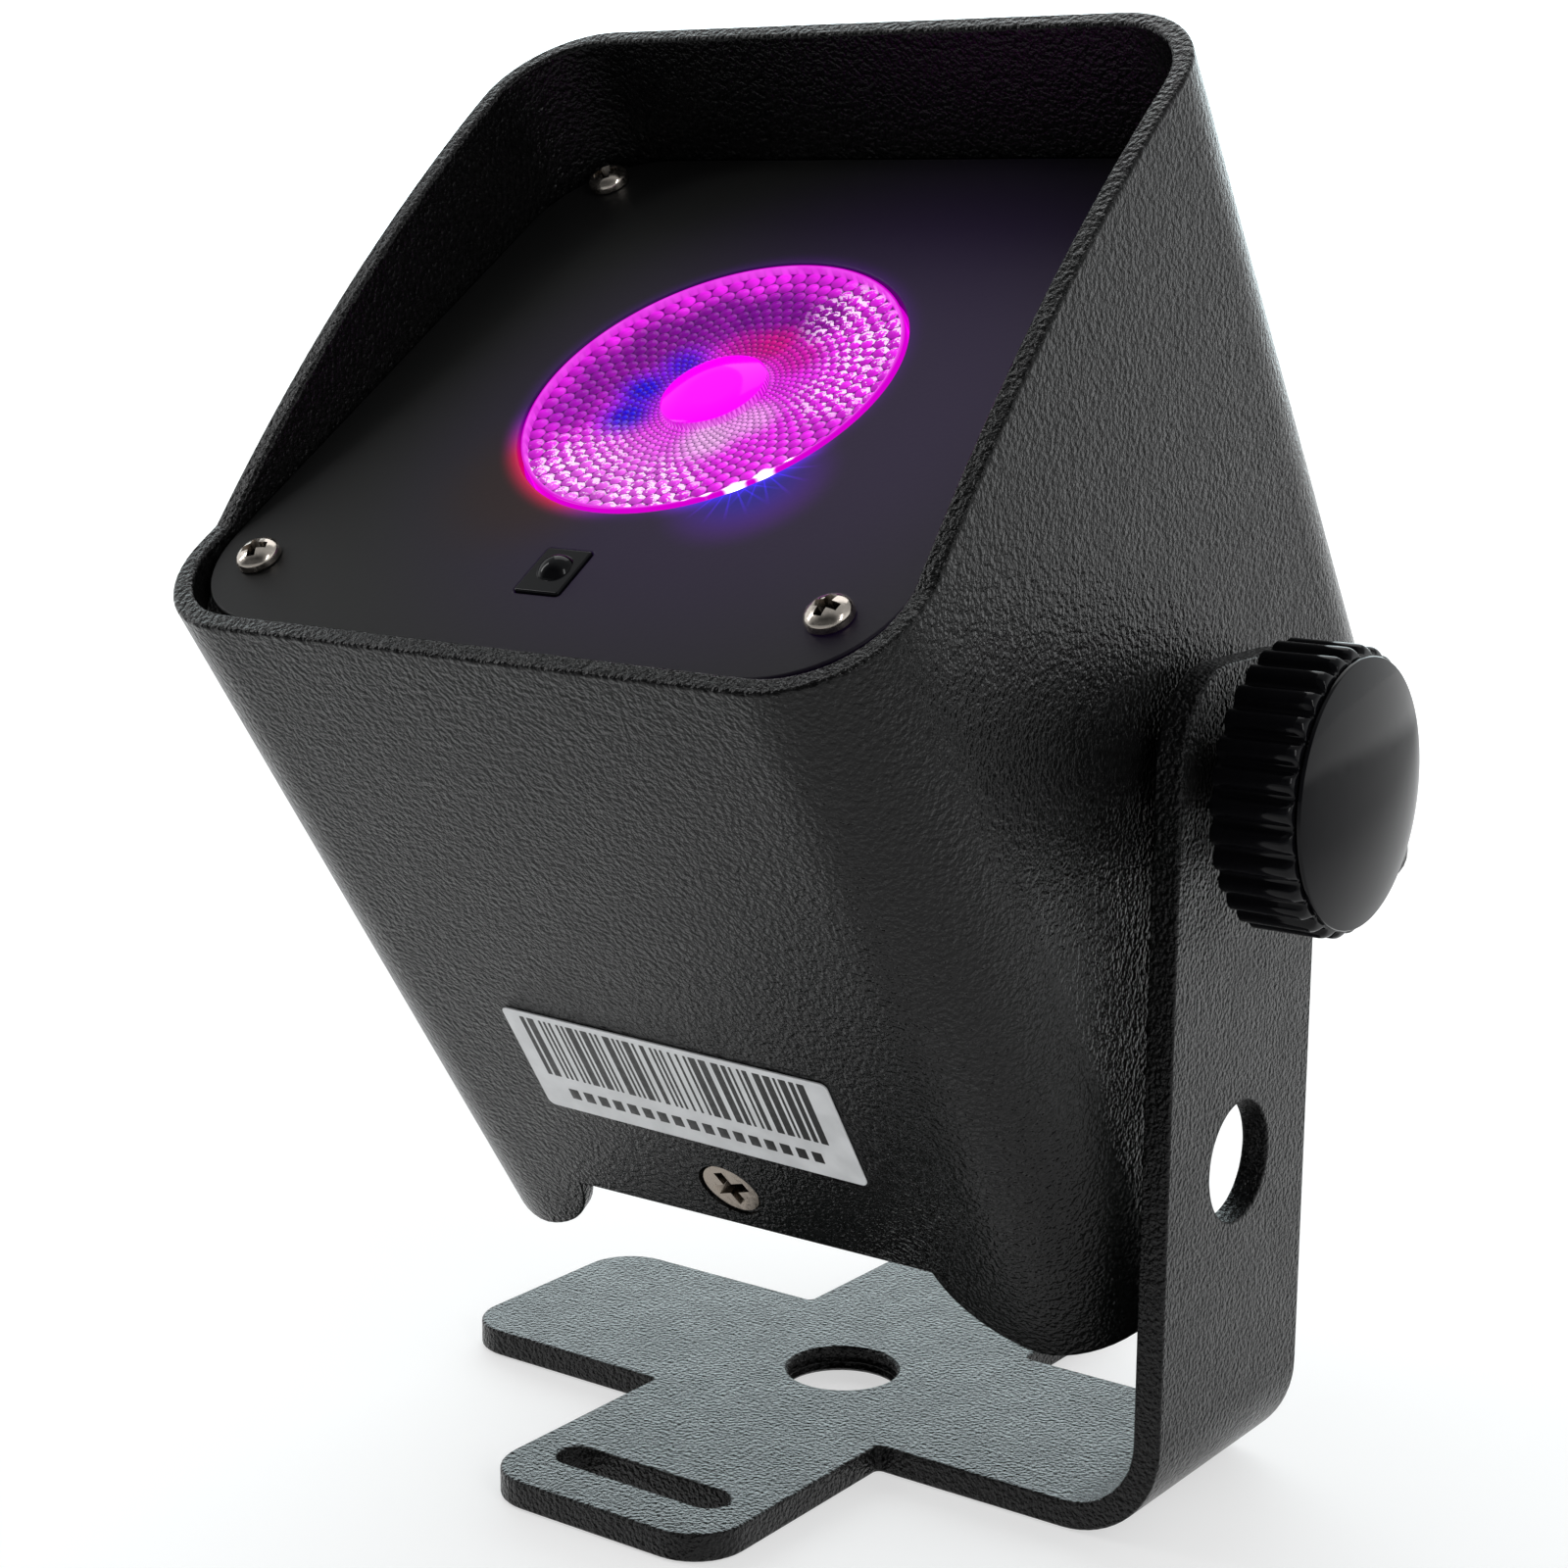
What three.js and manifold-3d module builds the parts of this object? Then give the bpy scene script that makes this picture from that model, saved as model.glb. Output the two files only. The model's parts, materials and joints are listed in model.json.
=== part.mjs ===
// A battery LED uplight: a square steel tube with a curved hood, clamped by one knob to a bent
// bracket with a cross-shaped foot. Millimetres, +Z up. The beam leans towards -Y, the knob is at +X.
// The lamp's pieces are drawn upright around the tilt axis and then leaned over as one group.
import * as THREE from "three";
import { mergeVertices } from "three/addons/utils/BufferGeometryUtils.js";
import Module from "manifold-3d";

const wasm = await Module();
wasm.setup();

const GAP = 0.3; // clearance between neighbouring pieces
const ROUND = 28; // sides of a bore, a washer or a large round piece
const SMALL_ROUND = 10; // sides of a screw, a spacer or a button
const PAST = 1; // how far a cutter runs past the face that it cuts

// Bracket
const STEEL = 3;
const STRIP = 30.2; // width of each arm and of the upright
const LEFT_ARM = 44.3; // length of the left arm from the clamp hole's centre
const FRONT_ARM = 45; // length of the front and the back arm
const ARM_RADIUS = 6;
const UPRIGHT_FACE = 48.6; // outer face of the upright
const UPRIGHT_TOP = 89;
const UPRIGHT_RADIUS = 9;
const BEND_RADIUS = 8; // inside of the bend
const CLAMP_BORE = 12.5;
const UPRIGHT_BORE_Z = 37.2;
const SLOT = { length: 21.7, width: 4.4, y: 36.3 };
const PIVOT_Z = 76.6;
const PIVOT_BORE = 8.8;
const LEAN = THREE.MathUtils.degToRad(34.07);

// Lamp tube, around the tilt axis
const TUBE = { x: 87, y: 85, radius: 11.8, wall: 2.2 };
const RIM_FRONT = 46.9;
const HOOD = { y: 53.6, z: -177.8, radius: 239 }; // circle that the hood's rim follows, seen from the side
const AXIS = { y: 1.39, z: -0.94 }; // the tilt axis, from the middle of the tube
const EDGE = -33.8; // bottom edge between the feet
const FOOT = -44; // lowest point of the corner feet
const FOOT_RADIUS = 12;
const FOOT_INSET = 8.2; // from the side of the tube to the centre of a foot's arc
const INNER_X = TUBE.x / 2 - TUBE.wall;
const INNER_Y = TUBE.y / 2 - TUBE.wall;

// Face plate and what shows in it
const PLATE = { top: 46, thick: 2, radius: 12, play: 0.35 };
const PLATE_BACK = PLATE.top - PLATE.thick - GAP; // highest level behind the plate
const FACE_SCREW = { x: 34.6, front: -31.3, back: 35.2, head: 2.35, shank: 1.2 };
const TAB = { reach: 4.5, thick: 6 };
const LENS = { x: 1.5, y: 0.4, radius: 20, disc: 5.6 };
const IR = { x: 1.8, y: -28.9, width: 5.5, depth: 6.4, dome: 2 };

// Light engine
const SINK = { size: 60, top: 22.9, base: 4, fins: 7, pitch: 9, fin: 1.4, bottom: 6 };
const STUD = { place: 22.5, spacer: 3, thread: 1.5 };
const LED_BOARD = { radius: 12, thick: 1.6 };

// Pivot, knob and washers
const THREAD = { radius: 3.95, bore: 4.1, inner: 33, outer: 56.6 };
const PIVOT_NUT = { flats: 13, inner: 32.6, outer: 38.8 };
const KNOB = { radius: 14.43, valley: 13.5, ribs: 30, back: 50.93, front: 59.6, cap: 13.4, top: 61.6 };

// Bottom panel and its controls
const PANEL = { low: -31.5, high: -30, flange: 8 };
const SIDE_SCREW = { z: -27.65, head: 3.5, shank: 1.6 };
const BUTTON = { count: 4, pitch: 10, y: 8, radius: 2.6, low: -33 };
const DISPLAY = { y: 20, width: 22, depth: 9 };
const SWITCH = { x: -18, y: -18, low: -33.1, high: -21.2, rest: THREE.MathUtils.degToRad(-7) };
const ROCKER_AXIS_Z = -31.2;
const SOCKET = { x: 18, y: -18, radius: 4, low: -32.3, high: -21.2 };

// Battery and electronics
const CELL = { radius: 9.1, length: 65, x: -4, z: -8.5, pitch: 19.2, count: 3 };
const TRAY = { low: -19.6, high: -8, wall: 1.5 };
const BOARD = 1.6; // thickness of the printed circuit boards

// Label on the front wall
const LABEL = { width: 41, height: 15.4, thick: 0.2, gap: 0.05, x: 0.3, z: -12.1, turn: 2.1 };

function finish(color, roughness, metalness) {
  return new THREE.MeshStandardMaterial({ color, roughness, metalness });
}

const PAINT = [0x141517, 0.55, 0.2];
const MATT = [0x101113, 0.6, 0.1];
const NICKEL = [0x8d8580, 0.25, 1];
const STEEL_BRIGHT = [0x9a9c9e, 0.35, 1];
const ALUMINIUM = [0xb9bcc0, 0.4, 1];
const BLACK_GLOSS = [0x0a0a0b, 0.12, 0];
const BLACK_PLASTIC = [0x161616, 0.5, 0];
const BOARD_GREEN = [0x14532d, 0.5, 0];
const WIRE = [0x7a1512, 0.5, 0];

// The solid inside a closed geometry, with shared vertices merged by position alone.
function solid(geometry) {
  const bare = geometry.index ? geometry.toNonIndexed() : geometry.clone();
  bare.deleteAttribute("normal");
  bare.deleteAttribute("uv");
  const merged = mergeVertices(bare, 1e-4);
  return new wasm.Manifold(
    new wasm.Mesh({
      numProp: 3,
      vertProperties: merged.attributes.position.array,
      triVerts: new Uint32Array(merged.index.array),
    }),
  );
}

function geometryOf(manifold) {
  const mesh = manifold.getMesh();
  const geometry = new THREE.BufferGeometry();
  geometry.setAttribute("position", new THREE.BufferAttribute(mesh.vertProperties, 3));
  geometry.setIndex(new THREE.BufferAttribute(mesh.triVerts, 1));
  geometry.computeVertexNormals();
  return geometry;
}

// The first geometry, with the second list joined to it and the third list cut from it.
function carve(base, joins, cuts) {
  let body = solid(base);
  for (const join of joins) {
    body = body.add(solid(join));
  }
  for (const cut of cuts) {
    body = body.subtract(solid(cut));
  }
  return geometryOf(body);
}

function block(x0, x1, y0, y1, z0, z1) {
  const box = new THREE.BoxGeometry(x1 - x0, y1 - y0, z1 - z0);
  return box.translate((x0 + x1) / 2, (y0 + y1) / 2, (z0 + z1) / 2);
}

function roundedRectangle(width, depth, radius, x = 0, y = 0) {
  const shape = new THREE.Shape();
  const right = x + width / 2 - radius;
  const left = x - width / 2 + radius;
  const back = y + depth / 2 - radius;
  const front = y - depth / 2 + radius;
  shape.absarc(right, back, radius, 0, Math.PI / 2);
  shape.absarc(left, back, radius, Math.PI / 2, Math.PI);
  shape.absarc(left, front, radius, Math.PI, 1.5 * Math.PI);
  shape.absarc(right, front, radius, 1.5 * Math.PI, 2 * Math.PI);
  return shape;
}

// A shape raised along +Z from low to high.
function prism(shape, low, high, curveSegments = 6) {
  const raised = new THREE.ExtrudeGeometry(shape, { depth: high - low, bevelEnabled: false, curveSegments });
  return raised.translate(0, 0, low);
}

const X = new THREE.Vector3(1, 0, 0);
const Y = new THREE.Vector3(0, 1, 0);
const Z = new THREE.Vector3(0, 0, 1);

// A shape drawn in Y and Z, raised along +X from low to high.
function prismAlongX(shape, low, high, curveSegments = 6) {
  const turn = new THREE.Matrix4().makeBasis(Y, Z, X);
  return prism(shape, low, high, curveSegments).applyMatrix4(turn);
}

// A shape drawn in X and Z, raised along Y from low to high.
function prismAlongY(shape, low, high, curveSegments = 6) {
  const turn = new THREE.Matrix4().makeBasis(X, Z, Y.clone().negate());
  return prism(shape, -high, -low, curveSegments).applyMatrix4(turn);
}

function rod(radius, low, high, x = 0, y = 0, sides = SMALL_ROUND) {
  const round = new THREE.CylinderGeometry(radius, radius, high - low, sides).rotateX(Math.PI / 2);
  return round.translate(x, y, (low + high) / 2);
}

function rodAlongX(radius, low, high, sides = ROUND) {
  return rod(radius, low, high, 0, 0, sides).rotateY(Math.PI / 2);
}

// A body of revolution about +Z. The profile lists [radius, z] anticlockwise.
function turned(profile, sides = ROUND) {
  const points = profile.map(([radius, z]) => new THREE.Vector2(radius, z));
  return new THREE.LatheGeometry(points, sides).rotateX(Math.PI / 2);
}

function ring(outer, inner, low, high, sides = ROUND) {
  const profile = [
    [inner, low],
    [outer, low],
    [outer, high],
    [inner, high],
    [inner, low],
  ];
  return turned(profile, sides);
}

function hexNut(flats, bore, low, high, sides) {
  const shape = new THREE.Shape();
  for (let corner = 0; corner < 6; corner += 1) {
    const angle = (corner * Math.PI) / 3;
    const reach = flats / Math.sqrt(3);
    if (corner === 0) {
      shape.moveTo(reach, 0);
    } else {
      shape.lineTo(reach * Math.cos(angle), reach * Math.sin(angle));
    }
  }
  return carve(prism(shape, low, high), [], [rod(bore, low - PAST, high + PAST, 0, 0, sides)]);
}

// A round lead of the given radius through hand-placed points.
function lead(points, radius) {
  const path = new THREE.CatmullRomCurve3(points.map((p) => new THREE.Vector3(...p)));
  const section = new THREE.Shape();
  section.absarc(0, 0, radius, 0, 2 * Math.PI);
  return new THREE.ExtrudeGeometry(section, { steps: 14, curveSegments: 3, extrudePath: path });
}

const assembly = new THREE.Group();
const lamp = new THREE.Group();
lamp.position.set(0, 0, PIVOT_Z);
lamp.rotation.x = LEAN;
assembly.add(lamp);
const head = new THREE.Group();
head.position.set(0, -AXIS.y, -AXIS.z);
lamp.add(head);

function piece(parent, name, geometry, look) {
  const mesh = new THREE.Mesh(geometry, finish(...look));
  mesh.name = name;
  parent.add(mesh);
  return mesh;
}

// Bracket: a cross that lies on the floor, whose right arm bends up into the upright.
function footOutline() {
  const half = STRIP / 2;
  const r = ARM_RADIUS;
  const quarter = Math.PI / 2;
  const outline = new THREE.Shape();
  outline.moveTo(half, -half);
  outline.lineTo(half, half);
  outline.absarc(half - r, FRONT_ARM - r, r, 0, quarter);
  outline.absarc(-half + r, FRONT_ARM - r, r, quarter, 2 * quarter);
  outline.lineTo(-half, half);
  outline.absarc(-LEFT_ARM + r, half - r, r, quarter, 2 * quarter);
  outline.absarc(-LEFT_ARM + r, -half + r, r, 2 * quarter, 3 * quarter);
  outline.lineTo(-half, -half);
  outline.absarc(-half + r, -FRONT_ARM + r, r, 2 * quarter, 3 * quarter);
  outline.absarc(half - r, -FRONT_ARM + r, r, 3 * quarter, 4 * quarter);
  return outline;
}

function bendOutline() {
  const centre = { x: UPRIGHT_FACE - STEEL - BEND_RADIUS, z: STEEL + BEND_RADIUS };
  const outline = new THREE.Shape();
  outline.moveTo(0, 0);
  outline.absarc(centre.x, centre.z, BEND_RADIUS + STEEL, -Math.PI / 2, 0);
  outline.lineTo(UPRIGHT_FACE, UPRIGHT_TOP - UPRIGHT_RADIUS);
  outline.lineTo(UPRIGHT_FACE - STEEL, UPRIGHT_TOP - UPRIGHT_RADIUS);
  outline.absarc(centre.x, centre.z, BEND_RADIUS, 0, -Math.PI / 2, true);
  outline.lineTo(0, STEEL);
  return outline;
}

function yokeBracket() {
  const topHeight = 4 * UPRIGHT_RADIUS;
  const top = roundedRectangle(STRIP, topHeight, UPRIGHT_RADIUS, 0, UPRIGHT_TOP - topHeight / 2);
  const slot = (y) => roundedRectangle(SLOT.length, SLOT.width, SLOT.width / 2, 0, y);
  const face = [UPRIGHT_FACE - STEEL - PAST, UPRIGHT_FACE + PAST];
  return carve(
    prism(footOutline(), 0, STEEL),
    [
      prismAlongY(bendOutline(), -STRIP / 2, STRIP / 2, 10),
      prismAlongX(top, UPRIGHT_FACE - STEEL, UPRIGHT_FACE),
    ],
    [
      rod(CLAMP_BORE / 2, -PAST, STEEL + PAST, 0, 0, ROUND),
      prism(slot(-SLOT.y), -PAST, STEEL + PAST),
      prism(slot(SLOT.y), -PAST, STEEL + PAST),
      rodAlongX(CLAMP_BORE / 2, ...face).translate(0, 0, UPRIGHT_BORE_Z),
      rodAlongX(PIVOT_BORE / 2, ...face).translate(0, 0, PIVOT_Z),
    ],
  );
}

piece(assembly, "yoke_bracket", yokeBracket(), PAINT);
const knobWasher = ring(9, PIVOT_BORE / 2, UPRIGHT_FACE + GAP, KNOB.back - GAP).rotateY(Math.PI / 2);
piece(assembly, "knob_washer", knobWasher.translate(0, 0, PIVOT_Z), BLACK_PLASTIC);

// Lamp tube: rounded square, its rim rising to the back, with four round feet left at the corners.
function footGap(half) {
  const centre = half - FOOT_INSET;
  const start = Math.PI - Math.asin((EDGE - FOOT - FOOT_RADIUS) / FOOT_RADIUS);
  const gap = new THREE.Shape();
  gap.moveTo(-centre, FOOT - PAST);
  gap.lineTo(-centre, FOOT);
  gap.absarc(-centre, FOOT + FOOT_RADIUS, FOOT_RADIUS, -Math.PI / 2, Math.PI - start, false);
  gap.absarc(centre, FOOT + FOOT_RADIUS, FOOT_RADIUS, start, 1.5 * Math.PI, false);
  gap.lineTo(centre, FOOT - PAST);
  return gap;
}

function hoodCut() {
  const reach = TUBE.y / 2 + PAST;
  const start = Math.PI - Math.asin((RIM_FRONT - HOOD.z) / HOOD.radius);
  const end = Math.acos((reach - HOOD.y) / HOOD.radius);
  const above = new THREE.Shape();
  above.moveTo(-reach, RIM_FRONT);
  above.lineTo(HOOD.y + HOOD.radius * Math.cos(start), RIM_FRONT);
  above.absarc(HOOD.y, HOOD.z, HOOD.radius, start, end, true);
  above.lineTo(reach, HOOD.z + HOOD.radius + TUBE.y);
  above.lineTo(-reach, HOOD.z + HOOD.radius + TUBE.y);
  return prismAlongX(above, -TUBE.x, TUBE.x, 12);
}

function tabAt(sideX, screwY) {
  const sideY = Math.sign(screwY);
  const inside = sideX * (FACE_SCREW.x - TAB.reach);
  const outside = sideX * (INNER_X + PAST);
  const nearY = screwY - sideY * TAB.reach;
  const farY = sideY * (INNER_Y + PAST);
  const spanX = [Math.min(inside, outside), Math.max(inside, outside)];
  const spanY = [Math.min(nearY, farY), Math.max(nearY, farY)];
  return block(...spanX, ...spanY, PLATE_BACK - TAB.thick, PLATE_BACK);
}

const FACE_SCREW_PLACES = [
  [-FACE_SCREW.x, FACE_SCREW.front],
  [FACE_SCREW.x, FACE_SCREW.front],
  [FACE_SCREW.x, FACE_SCREW.back],
  [-FACE_SCREW.x, FACE_SCREW.back],
];

// A countersunk hole through the front wall, for the screw that holds the bottom panel.
function sideScrewHole() {
  const reach = TUBE.y / 2;
  const profile = [
    [0, -reach - PAST],
    [SIDE_SCREW.head + GAP, -reach - PAST],
    [SIDE_SCREW.head + GAP, -reach + 0.4],
    [SIDE_SCREW.shank + GAP, -reach + 1.9],
    [SIDE_SCREW.shank + GAP, -reach + TUBE.wall + PAST],
    [0, -reach + TUBE.wall + PAST],
  ];
  return turned(profile, 20).rotateX(-Math.PI / 2).translate(0, 0, SIDE_SCREW.z);
}

function housingShell() {
  const high = HOOD.z + HOOD.radius + PAST;
  const outer = prism(roundedRectangle(TUBE.x, TUBE.y, TUBE.radius), FOOT, high, 6);
  const innerRadius = TUBE.radius - TUBE.wall;
  const inner = prism(roundedRectangle(2 * INNER_X, 2 * INNER_Y, innerRadius), FOOT - PAST, high + PAST, 6);
  const outerSolid = solid(outer);
  let body = outerSolid.subtract(solid(inner));
  for (const [x, y] of FACE_SCREW_PLACES) {
    const tab = solid(tabAt(Math.sign(x), y)).intersect(outerSolid);
    const hole = solid(rod(FACE_SCREW.shank + GAP, PLATE_BACK - TAB.thick - PAST, high, x, y));
    body = body.add(tab).subtract(hole);
  }
  const front = sideScrewHole();
  const back = front.clone().rotateZ(Math.PI);
  const cuts = [
    hoodCut(),
    prismAlongY(footGap(TUBE.x / 2), -TUBE.y, TUBE.y),
    prismAlongX(footGap(TUBE.y / 2), -TUBE.x, TUBE.x),
    rodAlongX(PIVOT_BORE / 2, INNER_X - PAST, TUBE.x / 2 + PAST).translate(0, AXIS.y, AXIS.z),
    front,
    back,
  ];
  for (const cut of cuts) {
    body = body.subtract(solid(cut));
  }
  return geometryOf(body);
}

piece(head, "housing_shell", housingShell(), PAINT);

// Face plate with the lens bore, the receiver's window and four screw holes.
function facePlate() {
  const width = 2 * (INNER_X - PLATE.play);
  const depth = 2 * (INNER_Y - PLATE.play);
  const low = PLATE.top - PLATE.thick;
  const span = [low - PAST, PLATE.top + PAST];
  const lensHole = rod(LENS.radius + 0.4, ...span, LENS.x, LENS.y, 48);
  const window = prism(roundedRectangle(IR.width, IR.depth, 0.4, IR.x, IR.y), ...span, 2);
  const screwHoles = FACE_SCREW_PLACES.map(([x, y]) => rod(FACE_SCREW.shank + GAP, ...span, x, y));
  const sheet = prism(roundedRectangle(width, depth, PLATE.radius), low, PLATE.top, 8);
  return carve(sheet, [], [lensHole, window, ...screwHoles]);
}

piece(head, "face_plate", facePlate(), MATT);

// A pan head screw, its head standing on z = 0 and its shank below.
function panHeadScrew() {
  const head = FACE_SCREW.head;
  const profile = [
    [0, -8],
    [FACE_SCREW.shank, -8],
    [FACE_SCREW.shank, 0],
    [head, 0],
    [head, 0.9],
    [head * 0.8, 1.45],
    [head * 0.4, 1.7],
    [0, 1.75],
  ];
  return turned(profile, SMALL_ROUND);
}

FACE_SCREW_PLACES.forEach(([x, y], index) => {
  const screw = piece(head, `face_screw_${index + 1}`, panHeadScrew(), NICKEL);
  screw.position.set(x, y, PLATE.top + 0.05);
});

// Collimator lens: a collar behind the plate, a shallow dish with a flat disc, a cone down to the LED.
function lens() {
  const r = LENS.radius;
  const profile = [
    [0, 31],
    [4.5, 31],
    [4.5, 27.6],
    [6.5, 27.6],
    [r - 1, 41.5],
    [r + 1, 42.3],
    [r + 1, PLATE_BACK],
    [r, PLATE_BACK],
    [r, PLATE.top + 0.2],
    [r - 1.4, PLATE.top + 0.2],
    [LENS.disc + 4, PLATE.top - 1.6],
    [LENS.disc, PLATE.top - 2],
    [0, PLATE.top - 2],
  ];
  return turned(profile, 40);
}

function lensHolder() {
  const outer = LENS.radius + 3;
  const inner = LENS.radius + 1.4;
  const profile = [
    [7.2, 25.6],
    [12, 25.6],
    [outer, 40],
    [outer, PLATE_BACK],
    [inner, PLATE_BACK],
    [inner, 41.9],
    [7.2, 27.2],
    [7.2, 25.6],
  ];
  return turned(profile, ROUND);
}

function ledEmitter(low) {
  const dome = new THREE.SphereGeometry(2.2, 12, 8).translate(0, 0, low + 0.6);
  const below = block(-3, 3, -3, 3, low - 3, low);
  return carve(block(-2.5, 2.5, -2.5, 2.5, low, low + 1), [dome], [below]);
}

piece(head, "lens", lens(), [0xd318d0, 0.15, 0]).position.set(LENS.x, LENS.y, 0);
piece(head, "lens_holder", lensHolder(), BLACK_PLASTIC).position.set(LENS.x, LENS.y, 0);
const ledBoardTop = SINK.top + GAP + LED_BOARD.thick;
const ledBoard = rod(LED_BOARD.radius, SINK.top + GAP, ledBoardTop, LENS.x, LENS.y, ROUND);
piece(head, "led_board", ledBoard, [0xe6e6e0, 0.5, 0]);
piece(head, "led_emitter", ledEmitter(ledBoardTop + GAP), [0xf4e3a0, 0.3, 0]).position.set(LENS.x, LENS.y, 0);

// Heat sink: one comb-shaped extrusion, bored for the four studs.
const STUD_PLACES = [
  [-STUD.place, -STUD.place],
  [STUD.place, -STUD.place],
  [STUD.place, STUD.place],
  [-STUD.place, STUD.place],
];

function heatSink() {
  const half = SINK.size / 2;
  const root = SINK.top - SINK.base;
  const comb = new THREE.Shape();
  comb.moveTo(half, SINK.top);
  comb.lineTo(-half, SINK.top);
  comb.lineTo(-half, root);
  for (let fin = 0; fin < SINK.fins; fin += 1) {
    const middle = (fin - (SINK.fins - 1) / 2) * SINK.pitch;
    comb.lineTo(middle - SINK.fin / 2, root);
    comb.lineTo(middle - SINK.fin / 2, SINK.bottom);
    comb.lineTo(middle + SINK.fin / 2, SINK.bottom);
    comb.lineTo(middle + SINK.fin / 2, root);
  }
  comb.lineTo(half, root);
  const bores = STUD_PLACES.map(([x, y]) => rod(STUD.thread + GAP, root - PAST, SINK.top + PAST, x, y));
  return carve(prismAlongY(comb, -half, half), [], bores);
}

piece(head, "heat_sink", heatSink(), ALUMINIUM);

STUD_PLACES.forEach(([x, y], index) => {
  const root = SINK.top - SINK.base;
  const profile = [
    [0, root - 3.6],
    [STUD.thread, root - 3.6],
    [STUD.thread, SINK.top + GAP],
    [STUD.spacer, SINK.top + GAP],
    [STUD.spacer, PLATE_BACK],
    [0, PLATE_BACK],
  ];
  const nut = hexNut(5.5, STUD.thread + GAP, root - GAP - 2.4, root - GAP, SMALL_ROUND);
  piece(head, `heat_sink_stud_${index + 1}`, turned(profile, SMALL_ROUND), STEEL_BRIGHT).position.set(x, y, 0);
  piece(head, `stud_nut_${index + 1}`, nut, STEEL_BRIGHT).position.set(x, y, 0);
});

// Infrared receiver in its window, on a small board.
function irReceiver() {
  const halfX = IR.width / 2 - GAP;
  const halfY = IR.depth / 2 - GAP;
  const shoulder = PLATE.top - 0.4;
  const dome = new THREE.SphereGeometry(IR.dome, 14, 8).translate(0, 0, shoulder - 0.6);
  return carve(block(-halfX, halfX, -halfY, halfY, 38.4, shoulder), [dome], []);
}

piece(head, "ir_receiver", irReceiver(), BLACK_GLOSS).position.set(IR.x, IR.y, 0);
const irBoard = block(IR.x - 6, IR.x + 6, IR.y - 4.7, IR.y + 4.7, 38.1 - BOARD, 38.1);
piece(head, "ir_board", irBoard, BOARD_GREEN);

// Pivot hardware on the right wall. Each piece is turned about X, the tilt axis.
const pivotPlateOuter = INNER_X - GAP;
const pivotPlate = carve(
  block(pivotPlateOuter - 1.9, pivotPlateOuter, -12, 12, -12, 12),
  [],
  [rodAlongX(PIVOT_BORE / 2, pivotPlateOuter - 1.9 - PAST, pivotPlateOuter + PAST)],
);
piece(lamp, "pivot_plate", pivotPlate, STEEL_BRIGHT);
const pivotNut = hexNut(PIVOT_NUT.flats, THREAD.bore, PIVOT_NUT.inner, PIVOT_NUT.outer, ROUND);
piece(lamp, "pivot_nut", pivotNut.rotateY(Math.PI / 2), STEEL_BRIGHT);
const frictionSpan = [TUBE.x / 2 + GAP, UPRIGHT_FACE - STEEL - GAP];
piece(lamp, "friction_washer", ring(11, PIVOT_BORE / 2, ...frictionSpan).rotateY(Math.PI / 2), BLACK_PLASTIC);
piece(lamp, "knob_stud", rodAlongX(THREAD.radius, THREAD.inner, THREAD.outer), STEEL_BRIGHT);

// Knob: thirty round ribs between narrow valleys, hollow at the back around a hub.
function knobOutline() {
  const outline = new THREE.Shape();
  const pitch = (2 * Math.PI) / KNOB.ribs;
  const stepsPerRib = 5;
  for (let step = 0; step < KNOB.ribs * stepsPerRib; step += 1) {
    const across = (step % stepsPerRib) / stepsPerRib;
    const swell = Math.sqrt(Math.sin(Math.PI * across));
    const radius = KNOB.valley + (KNOB.radius - KNOB.valley) * swell;
    const angle = (step / stepsPerRib) * pitch;
    const point = [radius * Math.cos(angle), radius * Math.sin(angle)];
    if (step === 0) {
      outline.moveTo(...point);
    } else {
      outline.lineTo(...point);
    }
  }
  return outline;
}

function knobBody() {
  const ribbed = prism(knobOutline(), KNOB.back, KNOB.front);
  const hollow = ring(11.8, 8, KNOB.back - PAST, KNOB.back + 5);
  const bore = rod(THREAD.bore, KNOB.back - PAST, THREAD.outer + GAP, 0, 0, ROUND);
  return carve(ribbed, [], [hollow, bore]).rotateY(Math.PI / 2);
}

function knobCap() {
  const low = KNOB.front + GAP;
  const rim = KNOB.cap;
  const rise = KNOB.top - low - 0.4;
  const profile = [
    [0, low],
    [rim, low],
    [rim, low + 0.4],
    [rim * 0.9, low + 0.4 + rise * 0.45],
    [rim * 0.7, low + 0.4 + rise * 0.72],
    [rim * 0.4, low + 0.4 + rise * 0.93],
    [0, KNOB.top],
  ];
  return turned(profile, 40).rotateY(Math.PI / 2);
}

piece(lamp, "knob_body", knobBody(), BLACK_GLOSS);
piece(lamp, "knob_cap", knobCap(), BLACK_GLOSS);

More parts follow.
